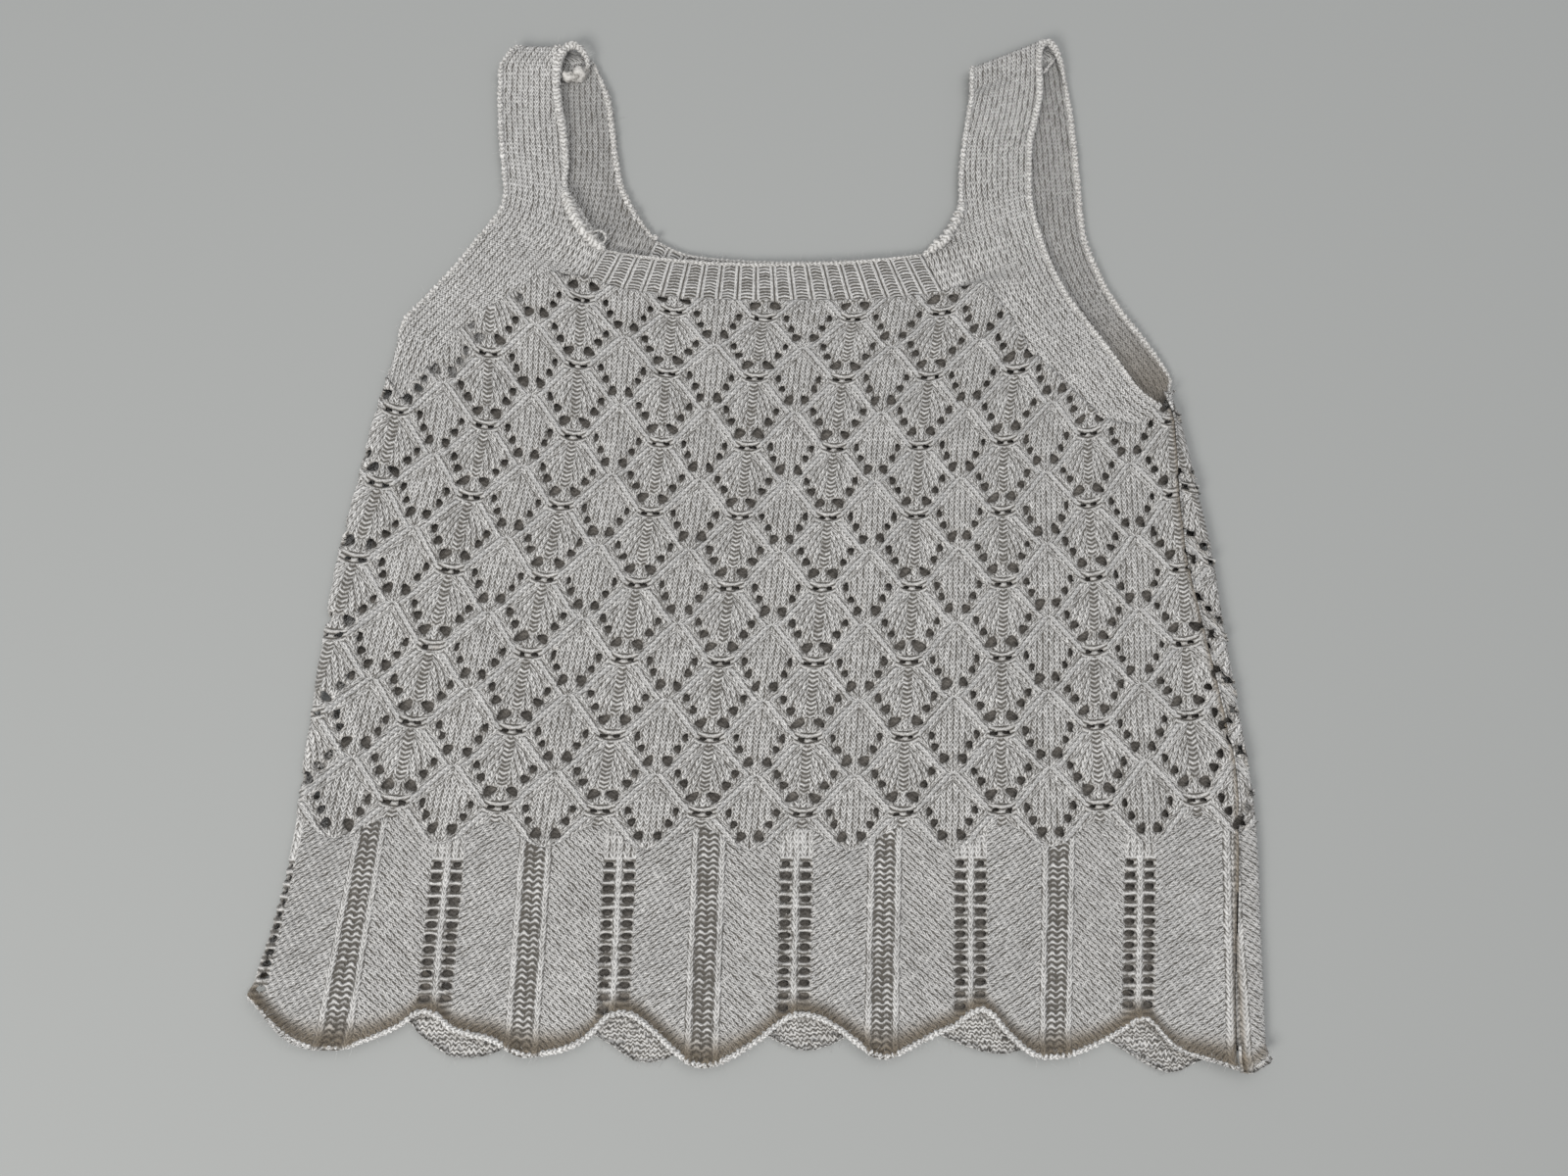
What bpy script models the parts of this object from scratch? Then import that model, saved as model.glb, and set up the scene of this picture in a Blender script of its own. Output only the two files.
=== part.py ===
"""Knit top laid flat: a sleeveless top in diamond lace with a scalloped border.

Tables and functions work in millimetres and the finished meshes in metres.
X runs across the garment, Y runs from the hem to the straps and Z up from
the surface that it lies on. The front is the upper layer and the back is
the lower one. Each piece is drawn as it would be before the sides and the
strap tops fold over, and then laid round those folds.
"""

import bmesh
import bpy
import numpy as np
from mathutils import Vector
from mathutils.geometry import delaunay_2d_cdt

MM = 0.001
WALL = 2.0  # thickness of the knitted cloth
HALF = WALL / 2
SEAM = 0.35  # space between two pieces where they are joined
BACK_MID = 1.0  # middle of the lower layer's wall above the surface
FRONT_MID = 3.4  # middle of the upper layer's wall
FOLD = 2.4  # radius of the middle of the wall in a fold
FOLD_OUT = FOLD + HALF  # how far a folded edge reaches past its axis
FOLD_MID = BACK_MID + FOLD  # height of a fold's axis
FOLD_RISE = 22.0  # width over which the upper layer swells towards a fold
HALF_TURN = np.pi * FOLD  # length of cloth that goes round a fold
WRAP = 9.0  # front cloth that lies under the left fold before its seam
STRAP_UNDER = 4.0  # strap cloth behind the strap's fold before its seam
ARM_TOP = 104.0  # above this the sides are open armholes
ARM_FADE = 60.0  # height over which the swelling of the sides dies out
HEM_CURL = 2.0  # how far the front's hem curls up
HEM_CURL_WIDTH = 7.0
RIDGE_HIGH = 0.8  # travelling stitches along each diamond
RIDGE_HALF = 0.062  # half of their width, in repeats
LADDER_HIGH = 0.5  # bumps down the middle of each diamond
LADDER_HALF = 0.07
RIB_HIGH = 0.8  # purl ribs of the border
RIB_TOP_HALF = 3.4
RIB_FOOT_HALF = 5.2
NECK_RIB_HIGH = 0.6
BINDING_HIGH = 0.7  # bound-off strip at each corner of the neck
LACE_END = 7.56  # row where the lace meets the border
BORDER_TOP = -120.0
BORDER_FOOT = -185.0


def table(names, *rows):
    """The rows as one array for each named column."""
    return dict(zip(names.split(), np.array(rows, float).T, strict=True))


# Silhouette of both sides and the seam that lies on the front at the right.
SIDES = table(
    "y left right seam",
    (-214, -229.5, 211.4, 197.6),
    (-176, -225.8, 212.6, 199.3),
    (-152, -220.0, 213.2, 201.2),
    (-112, -212.8, 214.4, 204.4),
    (-89, -211.0, 213.2, 205.4),
    (-46, -207.6, 208.6, 199.6),
    (-12, -204.6, 204.8, 193.5),
    (18, -201.0, 202.0, 188.6),
    (46, -195.6, 197.4, 186.9),
    (70, -191.4, 193.4, 186.6),
    (86, -188.0, 190.2, 185.6),
    (97, -185.4, 187.6, 181.6),
    (104, -183.6, 191.0, 178.0),
    (112, -182.0, 197.0, 174.0),
    (190, -167.0, 210.0, 150.0),
)
# Where the middle of each row of diamonds lies, and how the row bows.
LACE = table(
    "row mid_x mid_y pitch bow",
    (-1, -5.8, 163.5, 44.4, 1.90),
    (0, -9.7, 131.4, 43.1, 1.60),
    (1, -13.6, 101.3, 41.7, 0.90),
    (2, -16.9, 67.3, 40.6, 0.75),
    (3, -20.5, 34.1, 41.1, 0.66),
    (4, -24.6, 0.7, 42.2, 0.56),
    (5, -28.9, -33.8, 43.0, 0.55),
    (6, -33.0, -68.0, 43.8, 0.55),
    (7, -36.2, -100.6, 44.6, 0.35),
    (8, -39.4, -133.2, 45.3, 0.20),
)
LACE_TILT = -0.6  # drop of a row for each diamond to the right
BACK_SHIFT = 0.4  # how far the back's lace lies off the front's, in repeats
# Centre lines of the border's purl ribs, at its top and at the hem.
RIBS = table(
    "top foot",
    (-181.1, -189.0),
    (-108.6, -111.0),
    (-33.2, -34.9),
    (44.7, 42.4),
    (122.5, 118.7),
)
# Centre lines of the ladders of eyelets between them.
LADDERS = table(
    "top foot",
    (-146.2, -149.2),
    (-71.9, -73.4),
    (5.5, 4.0),
    (83.1, 81.2),
    (159.7, 155.5),
)
# Turning points of the scalloped hems: a notch, a lobe, a notch and so on.
FRONT_HEM = table(
    "x y",
    (-262.0, -199.0),
    (-225.8, -175.8),
    (-192.1, -198.4),
    (-153.0, -187.4),
    (-110.3, -202.6),
    (-71.4, -186.8),
    (-34.7, -207.4),
    (6.4, -187.4),
    (42.2, -204.8),
    (81.1, -185.6),
    (117.0, -205.2),
    (156.4, -188.4),
    (201.5, -212.6),
    (240.0, -189.0),
)
BACK_HEM = table(
    "x y",
    (-250.0, -176.0),
    (-171.0, -184.0),
    (-132.9, -201.4),
    (-94.0, -186.0),
    (-56.0, -205.0),
    (-21.0, -186.0),
    (13.5, -200.3),
    (53.0, -186.0),
    (93.0, -203.4),
    (130.0, -186.0),
    (166.5, -210.6),
    (192.0, -198.0),
    (222.0, -211.8),
    (250.0, -195.0),
)
# Each strap with its armhole band, from the underarm to the shoulder: the
# armhole edge, the inner edge, and 1 where the inner edge turns a corner.
FRONT_LEFT = table(
    "edge_x edge_y inner_x inner_y corner",
    (-184.6, 98.5, -177.8, 87.6, 1),
    (-184.0, 108.0, -170.6, 96.6, 0),
    (-179.6, 122.5, -157.6, 114.0, 0),
    (-167.4, 138.8, -146.6, 128.0, 0),
    (-155.2, 155.0, -128.0, 141.4, 0),
    (-147.2, 166.4, -113.4, 151.6, 0),
    (-140.2, 176.4, -94.4, 149.4, 1),
    (-135.8, 183.6, -86.4, 163.6, 1),
    (-134.2, 191.0, -97.0, 180.6, 0),
    (-134.6, 199.0, -105.6, 195.0, 0),
    (-136.4, 212.0, -105.8, 210.0, 0),
    (-137.8, 226.0, -108.0, 226.0, 0),
    (-138.8, 240.0, -110.6, 240.0, 0),
    (-139.0, 254.0, -113.0, 254.0, 0),
)
FRONT_RIGHT = table(
    "edge_x edge_y inner_x inner_y corner",
    (178.4, 91.4, 170.4, 80.6, 1),
    (171.6, 97.0, 156.0, 83.0, 0),
    (163.8, 108.6, 143.4, 92.8, 0),
    (155.6, 120.4, 132.0, 105.0, 0),
    (146.6, 132.6, 118.6, 117.8, 0),
    (138.0, 145.0, 109.0, 135.0, 0),
    (131.6, 158.0, 96.4, 150.8, 0),
    (127.2, 170.0, 77.2, 146.6, 1),
    (124.6, 180.0, 67.4, 165.2, 1),
    (122.4, 190.0, 78.6, 175.8, 0),
    (121.5, 200.0, 86.4, 189.0, 0),
    (121.8, 212.0, 87.6, 207.0, 0),
    (123.0, 226.0, 89.6, 224.0, 0),
    (126.6, 242.0, 92.0, 238.0, 0),
    (129.2, 258.0, 94.0, 251.0, 0),
)
BACK_LEFT = table(
    "edge_x edge_y inner_x inner_y corner",
    (-171.4, 98.0, -162.8, 88.0, 1),
    (-169.6, 107.0, -155.0, 99.0, 0),
    (-164.6, 122.0, -143.0, 114.0, 0),
    (-153.0, 138.8, -132.6, 128.0, 0),
    (-140.6, 155.0, -113.6, 141.4, 0),
    (-132.8, 166.4, -98.6, 152.6, 0),
    (-126.0, 176.4, -70.6, 154.0, 1),
    (-121.6, 183.6, -62.4, 170.4, 1),
    (-119.4, 191.0, -71.8, 183.0, 0),
    (-118.4, 199.0, -79.0, 197.0, 0),
    (-118.0, 212.0, -82.2, 212.0, 0),
    (-118.4, 226.0, -84.2, 226.0, 0),
    (-119.8, 244.0, -87.0, 244.0, 0),
)
BACK_RIGHT = table(
    "edge_x edge_y inner_x inner_y corner",
    (187.4, 98.6, 180.4, 88.0, 1),
    (186.8, 107.0, 172.6, 98.0, 0),
    (175.8, 124.0, 160.4, 113.4, 0),
    (166.6, 136.6, 149.0, 128.0, 0),
    (159.2, 148.4, 131.6, 141.4, 0),
    (153.6, 161.0, 117.6, 152.6, 0),
    (149.8, 171.6, 92.6, 153.6, 1),
    (147.8, 181.0, 84.8, 170.0, 1),
    (147.2, 190.0, 94.0, 183.0, 0),
    (146.8, 200.0, 104.0, 196.0, 0),
    (146.2, 212.0, 108.4, 210.0, 0),
    (145.6, 226.0, 109.0, 224.0, 0),
    (144.0, 248.0, 109.4, 246.0, 0),
)
# Neck ribbing from the left corner to the right one: its edge and its foot.
FRONT_NECK = table(
    "edge_x edge_y inner_x inner_y corner",
    (-86.0, 163.4, -94.0, 149.0, 1),
    (-70.7, 160.8, -76.0, 143.6, 0),
    (-47.0, 158.6, -49.0, 140.4, 0),
    (-19.0, 158.0, -20.0, 139.6, 0),
    (0.0, 158.6, 1.0, 140.2, 0),
    (28.5, 160.0, 30.0, 141.0, 0),
    (47.7, 162.2, 50.0, 142.4, 0),
    (67.0, 165.0, 76.8, 146.2, 1),
)
BACK_NECK = table(
    "edge_x edge_y inner_x inner_y corner",
    (-62.0, 170.2, -70.2, 153.6, 1),
    (-46.8, 163.2, -52.0, 146.6, 0),
    (-24.6, 160.6, -28.0, 143.2, 0),
    (0.0, 160.4, -2.0, 142.6, 0),
    (28.5, 161.6, 30.0, 143.2, 0),
    (52.0, 163.6, 56.0, 145.6, 0),
    (84.4, 169.8, 92.2, 153.2, 1),
)
# The fold at the top of each strap, and how far the cloth moves sideways
# as it goes round.
STRAP_TOPS = {
    "left": {"x": -125.0, "y": 267.0, "slope": 0.03, "skew": 19.0},
    "right": {"x": 98.4, "y": 265.6, "slope": 0.46, "skew": 12.0},
}
NECK_REPEATS = 19
# Lines along a strap and its band, as shares of its width from the edge.
STRAP_SHARES = (0.0, 0.3, 0.6, 0.88, 1.0)
# Heights of the points along the seam at the right.
SEAM_STEPS = (*range(-202, 74, 12), 80, 86, 90)
# Lines along the cloth that goes round a fold, as shares of its half turn.
TURNS = (0.0, 0.2, 0.4, 0.6, 0.8, 1.0)


def curve(data, where, column, at):
    """The column as a smooth curve over the column named by where."""
    x, y = data[where], data[column]
    slope = np.gradient(y, x)
    at = np.clip(np.asarray(at, float), x[0], x[-1])
    i = np.clip(np.searchsorted(x, at) - 1, 0, len(x) - 2)
    h = x[i + 1] - x[i]
    t = (at - x[i]) / h
    return (
        y[i] * (1 + 2 * t) * (1 - t) ** 2
        + y[i + 1] * t * t * (3 - 2 * t)
        + h * slope[i] * t * (1 - t) ** 2
        - h * slope[i + 1] * t * t * (1 - t)
    )


def ease(t):
    t = np.clip(t, 0.0, 1.0)
    return t * t * (3 - 2 * t)


def hem(data, x):
    """Height of a scalloped hem, rounded at each notch and each lobe."""
    i = int(np.clip(np.searchsorted(data["x"], x) - 1, 0, len(data["x"]) - 2))
    t = (x - data["x"][i]) / (data["x"][i + 1] - data["x"][i])
    return float(data["y"][i] + (data["y"][i + 1] - data["y"][i]) * ease(t))


def left_axis(y):
    return float(curve(SIDES, "y", "left", y)) + FOLD_OUT


def right_axis(y):
    return float(curve(SIDES, "y", "right", y)) - FOLD_OUT


def seam_line(y):
    return float(curve(SIDES, "y", "seam", y))


def strap_axis(side, x):
    top = STRAP_TOPS[side]
    return top["y"] + top["slope"] * (x - top["x"])


def front_height(x, y):
    """Middle of the upper layer, which swells towards every fold."""
    open_arm = 1 - float(ease((y - ARM_TOP) / ARM_FADE))
    near = [
        open_arm * float(ease(1 - (x - left_axis(y)) / FOLD_RISE)),
        open_arm * float(ease(1 - (right_axis(y) - x) / FOLD_RISE)),
    ]
    if y > 200:
        side = "left" if x < 0 else "right"
        near.append(float(ease(1 - (strap_axis(side, x) - y) / FOLD_RISE)))
    swell = (FOLD_MID + FOLD - FRONT_MID) * max(near)
    curl = HEM_CURL * float(ease(1 - (y - hem(FRONT_HEM, x)) / HEM_CURL_WIDTH))
    curl *= 1 - 0.8 * max(near) if y < -150 else 0.0
    return FRONT_MID + swell + curl


def lay_front(x, y, out):
    """Place of a point of the front's pattern, out from the wall's middle."""
    radius = FOLD + out
    side = "left" if x < 0 else "right"
    if y > strap_axis(side, x):
        axis = strap_axis(side, x)
        turn = min((y - axis) / FOLD, np.pi)
        under = max(0.0, y - axis - HALF_TURN)
        shift = float(ease((y - axis) / (HALF_TURN + STRAP_UNDER)))
        x += STRAP_TOPS[side]["skew"] * shift
        y = axis + radius * np.sin(turn) - under
        return x, y, FOLD_MID + radius * np.cos(turn)
    axis = left_axis(y)
    if x < axis:
        turn = min((axis - x) / FOLD, np.pi)
        under = max(0.0, axis - x - HALF_TURN)
        x = axis - radius * np.sin(turn) + under
        return x, y, FOLD_MID + radius * np.cos(turn)
    return x, y, front_height(x, y) + out


def lay_back(x, y, out):
    """Place of a point of the back's pattern, out from the wall's middle."""
    axis = right_axis(y)
    if x <= axis or y > ARM_TOP:
        return x, y, BACK_MID - out
    turn = (x - axis) / FOLD
    if turn < np.pi:
        radius = FOLD + out
        x = axis + radius * np.sin(turn)
        return x, y, FOLD_MID - radius * np.cos(turn)
    x = axis - (x - axis - HALF_TURN)
    return x, y, front_height(x, y) + out


def lace_point(column, row):
    """Place of a point of the lace that is given in repeats."""
    mid_x, mid_y, pitch, bow = (
        float(curve(LACE, "row", name, row))
        for name in ("mid_x", "mid_y", "pitch", "bow")
    )
    x = mid_x + pitch * column
    return x, mid_y + LACE_TILT * column + bow * column**2


def lace_repeats(x, y):
    """Column and row of a place, the other way round."""
    column, row = x / 43.0, (131.0 - y) / 33.0
    for _ in range(8):
        at = float(curve(LACE, "row", "mid_y", row))
        bow = float(curve(LACE, "row", "bow", row))
        at += LACE_TILT * column + bow * column**2
        row = float(np.clip(row + (at - y) / 33.0, -1, 8))
        column = x - float(curve(LACE, "row", "mid_x", row))
        column /= float(curve(LACE, "row", "pitch", row))
    return column, row


def off_line(value):
    """Distance of a value from the nearest whole number."""
    return abs(value - round(value))


def border_line(data, i, y):
    t = (BORDER_TOP - y) / (BORDER_TOP - BORDER_FOOT)
    return float(data["top"][i] + (data["foot"][i] - data["top"][i]) * t)


def front_relief(x, y):
    """How far the front's pattern stands out of the wall."""
    if x < left_axis(y) - HALF_TURN / 3:
        return 0.0
    column, row = lace_repeats(x, y)
    if row < LACE_END and y > BORDER_TOP:
        high = 0.0
        for line in (row + column - 0.04, row - column - 0.04):
            high = max(high, 1 - off_line(line) / RIDGE_HALF)
        high *= RIDGE_HIGH
        across = off_line(column)
        along = row - np.floor(row)
        if 0.12 < along < 0.74:
            high = max(high, LADDER_HIGH * (1 - across / LADDER_HALF))
        return high
    high = 0.0
    for i in range(len(RIBS["top"])):
        off = abs(x - border_line(RIBS, i, y))
        step = (RIB_FOOT_HALF - off) / (RIB_FOOT_HALF - RIB_TOP_HALF)
        high = max(high, RIB_HIGH * min(1.0, step))
    return high * float(ease((BORDER_TOP - y) / 8))


def no_relief(_x, _y):
    return 0.0


def inset(loop, by):
    """A loop that runs anticlockwise, moved inwards."""
    loop = np.array(loop)
    step = np.roll(loop, -1, 0) - loop
    step /= np.linalg.norm(step, axis=1)[:, None]
    normal = np.stack([-step[:, 1], step[:, 0]], 1)
    both = normal + np.roll(normal, 1, 0)
    both /= np.maximum(0.5, (both * both).sum(1) / 2)[:, None]
    return loop + both * by


def distance(points, loop):
    """Distance of each point from a closed loop."""
    points = np.atleast_2d(points)[:, None, :]
    start = np.array(loop)[None]
    run = np.roll(start, -1, 1) - start
    t = ((points - start) * run).sum(2) / np.maximum((run * run).sum(2), 1e-12)
    near = start + np.clip(t, 0, 1)[..., None] * run
    return np.linalg.norm(points - near, axis=2).min(1)


def inside(point, loop):
    x, y = point
    a, b = np.array(loop), np.roll(np.array(loop), -1, 0)
    crosses = (a[:, 1] > y) != (b[:, 1] > y)
    a, b = a[crosses], b[crosses]
    at = a[:, 0] + (y - a[:, 1]) / (b[:, 1] - a[:, 1]) * (b[:, 0] - a[:, 0])
    return bool((at > x).sum() % 2)


def clear_lines(lines, outline, holes, space):
    """The parts of the lines that keep clear of the outline and the holes."""
    kept = []
    middles = np.array([np.mean(hole, 0) for hole in holes]) if holes else None
    for line in lines:
        run = []
        for point in line:
            good = inside(point, outline)
            good = good and distance(point, outline)[0] > space
            if good and holes:
                apart = np.linalg.norm(middles - np.array(point), axis=1)
                for i in np.flatnonzero(apart < 8):
                    if inside(point, holes[i]):
                        good = False
                    elif distance(point, holes[i])[0] < 0.35:
                        good = False
            if good:
                run.append(point)
                continue
            kept.append(run)
            run = []
        kept.append(run)
    return [run for run in kept if run]


def triangles(outline, holes, lines):
    """Flat triangles that fill an outline round its holes, along the lines."""
    points, edges, faces = [], [], []
    for loop in [outline, *holes]:
        start = len(points)
        points += [tuple(p) for p in loop]
        faces.append(list(range(start, len(points))))
    for line in lines:
        start = len(points)
        points += [tuple(p) for p in line]
        edges += [(k, k + 1) for k in range(start, len(points) - 1)]
    made = delaunay_2d_cdt([Vector(p) for p in points], edges, faces, 0, 1e-4)
    flat, cut, sources = made[0], made[2], made[5]
    keep = [f for f, s in zip(cut, sources, strict=True) if s == [0]]
    return [tuple(p) for p in flat], keep


def rim_of(faces):
    """The edges that only one face has, in that face's direction."""
    count = {}
    for face in faces:
        for a, b in zip(face, face[1:] + face[:1], strict=True):
            count[(a, b)] = count.get((a, b), 0) + 1
    return [edge for edge in count if (edge[1], edge[0]) not in count]


def rim_loops(edges):
    follow = dict(edges)
    loops = []
    while follow:
        start, at = follow.popitem()
        loop = [start]
        while at != start:
            loop.append(at)
            at = follow.pop(at)
        loops.append(loop)
    return loops


def area_of(loop):
    p = np.array(loop)
    q = np.roll(p, -1, 0)
    return float((p[:, 0] * q[:, 1] - p[:, 1] * q[:, 0]).sum() / 2)


def make_object(name, points, faces, colour):
    """A closed body with its faces outwards and a material of its own."""
    mesh = bpy.data.meshes.new(name)
    mesh.from_pydata([[c * MM for c in p] for p in points], [], faces)
    work = bmesh.new()
    work.from_mesh(mesh)
    bmesh.ops.triangulate(work, faces=work.faces)
    bmesh.ops.recalc_face_normals(work, faces=work.faces)
    work.to_mesh(mesh)
    work.free()
    body = bpy.data.objects.new(name, mesh)
    TOP.objects.link(body)
    material = bpy.data.materials.new(name + "_yarn")
    material.use_nodes = True
    shader = material.node_tree.nodes["Principled BSDF"]
    shader.inputs["Base Color"].default_value = (*colour, 1.0)
    shader.inputs["Roughness"].default_value = 0.92
    mesh.materials.append(material)
    return body


def panel(name, outline, holes, relief_lines, form_lines, relief, lay, colour):
    """A cut panel: a patterned outside over a plain inside."""
    outline = [tuple(p) for p in outline]
    relief_lines = clear_lines(relief_lines, outline, holes, 0.9)
    form_lines = clear_lines(form_lines, outline, holes, 0.9)
    flat, outer = triangles(outline, holes, relief_lines + form_lines)
    loops = rim_loops(rim_of(outer))
    loops.sort(key=lambda loop: -abs(area_of([flat[k] for k in loop])))
    rims = [[flat[k] for k in loop] for loop in loops]
    turned = [r if area_of(r) > 0 else r[::-1] for r in rims]
    plain, inner = triangles(turned[0], turned[1:], form_lines)
    seen = {(round(x, 3), round(y, 3)): k for k, (x, y) in enumerate(plain)}
    points = [lay(x, y, HALF + relief(x, y)) for x, y in flat]
    start = len(points)
    points += [lay(x, y, -HALF) for x, y in plain]
    faces = [list(f) for f in outer]
    faces += [[start + k for k in reversed(f)] for f in inner]
    for loop in loops:
        for a, b in zip(loop, loop[1:] + loop[:1], strict=True):
            c = start + seen[(round(flat[b][0], 3), round(flat[b][1], 3))]
            d = start + seen[(round(flat[a][0], 3), round(flat[a][1], 3))]
            faces.append([b, a, d, c])
    return make_object(name, points, faces, colour)


def rail(data, which, steps):
    """One edge of a band as a smooth run, sharp where the table says."""
    run = np.stack([data[which + "_x"], data[which + "_y"]], 1)
    sharp = set(np.flatnonzero(data["corner"] > 0)) if which == "inner" else set()
    ends = sorted(sharp | {0, len(run) - 1})
    points = []
    for first, last in zip(ends, ends[1:], strict=False):
        part = run[first : last + 1]
        slope = np.gradient(part, axis=0)
        for k in range(last - first):
            for t in np.arange(steps) / steps:
                a = part[k] * (1 + 2 * t) * (1 - t) ** 2
                b = part[k + 1] * t * t * (3 - 2 * t)
                c = slope[k] * t * (1 - t) ** 2 - slope[k + 1] * t * t * (1 - t)
                points.append(a + b + c)
    points.append(run[-1])
    return np.array(points)


def band(name, edge, inner, shares, lay, relief, colour):
    """A strip between two rails, with a relief on its outside."""
    grid = []
    for a, b in zip(edge, inner, strict=True):
        grid.append([a + (b - a) * share for share in shares])
    rows, columns = len(grid), len(shares)
    points = []
    for sign in (1, -1):
        for i, row in enumerate(grid):
            for j, (x, y) in enumerate(row):
                out = HALF + relief(i, j) if sign > 0 else -HALF
                points.append(lay(float(x), float(y), out))
    under = rows * columns
    faces = []
    for i in range(rows - 1):
        for j in range(columns - 1):
            k = i * columns + j
            quad = [k, k + 1, k + columns + 1, k + columns]
            faces.append(quad)
            faces.append([under + n for n in reversed(quad)])
    rim = [j for j in range(columns)]
    rim += [i * columns + columns - 1 for i in range(1, rows)]
    rim += [(rows - 1) * columns + j for j in range(columns - 2, -1, -1)]
    rim += [i * columns for i in range(rows - 2, 0, -1)]
    for a, b in zip(rim, rim[1:] + rim[:1], strict=True):
        faces.append([a, b, under + b, under + a])
    return make_object(name, points, faces, colour)


def lace_holes(shift, sides, outline, keep):
    """The pair of large eyelets over each crossing of the lace."""
    holes = []
    for row in range(0, 8):
        for column in range(-7, 8):
            for way in (-1, 1):
                middle = (column + shift + 0.112 * way, row - 0.192)
                hole = []
                for k in range(sides):
                    turn = 2 * np.pi * (k + 0.5) / sides
                    across = 0.066 * np.cos(turn)
                    along = 0.052 * np.sin(turn) + 0.35 * across * way
                    hole.append(lace_point(middle[0] + across, middle[1] + along))
                if area_of(hole) < 0:
                    hole.reverse()
                if not all(inside(p, outline) for p in hole):
                    continue
                if distance(hole, outline).min() > 1.6 and keep(hole):
                    holes.append(hole)
    return holes


def ladder_holes(outline, rows):
    """The first eyelets down both sides of each ladder of the border."""
    holes = []
    for i in range(len(LADDERS["top"])):
        for row in rows:
            for way in (-1, 1):
                y = BORDER_TOP - 6.0 - 5.4 * row
                x = border_line(LADDERS, i, y) + 4.4 * way
                turn = 2 * np.pi * (np.arange(4) + 0.5) / 4
                hole = [(x + 2.4 * np.cos(a), y + 1.5 * np.sin(a)) for a in turn]
                if distance(hole, outline).min() > 1.6:
                    holes.append(hole)
    return holes


def ridge_lines():
    """Crest and feet of every line of travelling stitches."""
    lines = []
    for row in np.arange(-1, 8, 0.5):
        for column in np.arange(-7, 8, 0.5):
            if (row * 2 + column * 2) % 2:
                continue
            for way in (-1, 1):
                start = np.array([column, row + 0.04])
                run = np.array([0.5 * way, 0.5])
                foot = np.array([-way, 1.0]) * RIDGE_HALF / 2
                lines.append([start, start + run / 2, start + run])
                for sign in (-1, 1):
                    ends = (start + run * t + foot * sign for t in (0.15, 0.85))
                    lines.append(list(ends))
    kept = []
    for line in lines:
        if max(p[1] for p in line) < LACE_END + 0.05:
            kept.append([lace_point(*p) for p in line])
    return kept


def ladder_lines():
    lines = []
    for row in range(0, 8):
        for column in range(-7, 8):
            for side in (-1, 0, 1):
                off = side * LADDER_HALF
                line = [(column + off, row + t) for t in (0.15, 0.72)]
                if line[-1][1] < LACE_END:
                    lines.append([lace_point(*p) for p in line])
    return lines


def rib_lines():
    """Feet and shoulders of the border's ribs, and its top."""
    lines = []
    for i in range(len(RIBS["top"])):
        for off in (-RIB_FOOT_HALF, -RIB_TOP_HALF, RIB_TOP_HALF, RIB_FOOT_HALF):
            ys = np.arange(BORDER_TOP, -212, -8.0)
            lines.append([(border_line(RIBS, i, y) + off, y) for y in ys])
    return lines


def hem_line(data, x0, x1, step, turned=(), up=0.0):
    """A hem from x0 to x1, with its own steps where it goes round a fold."""
    xs = np.linspace(x0, x1, int(round((x1 - x0) / step)) + 1)
    if len(turned):
        low, high = min(turned) - 2, max(turned) + 2
        xs = sorted([*xs[(xs < low) | (xs > high)], *turned])
    return [(x, hem(data, x) + up) for x in xs]


def round_fold(axis, y, way):
    return [axis(y) + way * HALF_TURN * t for t in TURNS]


def left_cut(y):
    return left_axis(y) - HALF_TURN - WRAP


def right_cut(y):
    """Where the back ends after it has gone round the right fold."""
    axis = right_axis(y)
    return axis + HALF_TURN + max(0.4, axis - seam_line(y) - SEAM / 2)


def even(points, count):
    """A run of points again, at an even spacing."""
    steps = np.linalg.norm(np.diff(points, axis=0), axis=1)
    far = np.concatenate([[0], np.cumsum(steps)])
    at = np.linspace(0, far[-1], count)
    return np.stack([np.interp(at, far, points[:, k]) for k in (0, 1)], 1)


def neck_rail(data, which):
    """An edge of the neck ribbing, with three steps to each rib."""
    return even(rail(data, which, 4), 3 * NECK_REPEATS + 1)


def outer_part(data, steps):
    """The inner edge of a strap's band, from the underarm to the ribbing."""
    turn = int(np.flatnonzero(data["corner"] > 0)[1])
    return rail(data, "inner", steps)[: turn * steps + 1]


def front_outline():
    corner_y = hem(FRONT_HEM, left_cut(-182.0))
    turned = round_fold(left_axis, -177.0, -1)
    x0, x1 = left_cut(corner_y), seam_line(-212) - SEAM / 2
    loop = hem_line(FRONT_HEM, x0, x1, 6.0, turned)
    loop += [(seam_line(y) - SEAM / 2, y) for y in SEAM_STEPS]
    loop += top_edge(FRONT_LEFT, FRONT_NECK, FRONT_RIGHT, 2)
    turned = np.array(round_fold(left_axis, 98.5, -1))
    loop += [(x, 97.4) for x in turned[turned < loop[-1][0] - 0.3]]
    left = [(left_cut(y), y) for y in np.arange(96, corner_y + 4, -14.0)]
    return loop + left


def band_end(data):
    """The end of a band at the underarm, from its edge inwards."""
    edge = np.array([data["edge_x"][0], data["edge_y"][0]])
    inner = np.array([data["inner_x"][0], data["inner_y"][0]])
    return [edge + (inner - edge) * share for share in STRAP_SHARES]


def top_edge(left, neck, right, steps):
    """A panel's upper edge, from the right underarm to the left one."""
    top = band_end(right)[:-1]
    top += list(outer_part(right, steps))
    top += list(neck_rail(neck, "inner")[::-3])[1:-1]
    top += list(outer_part(left, steps)[::-1])
    top += band_end(left)[-2::-1]
    top = [(top[0][0] + 6, top[0][1] - 2), *top, (top[-1][0] - 6, top[-1][1] - 2)]
    return [tuple(p) for p in inset(top, SEAM)[1:-1]]


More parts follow.
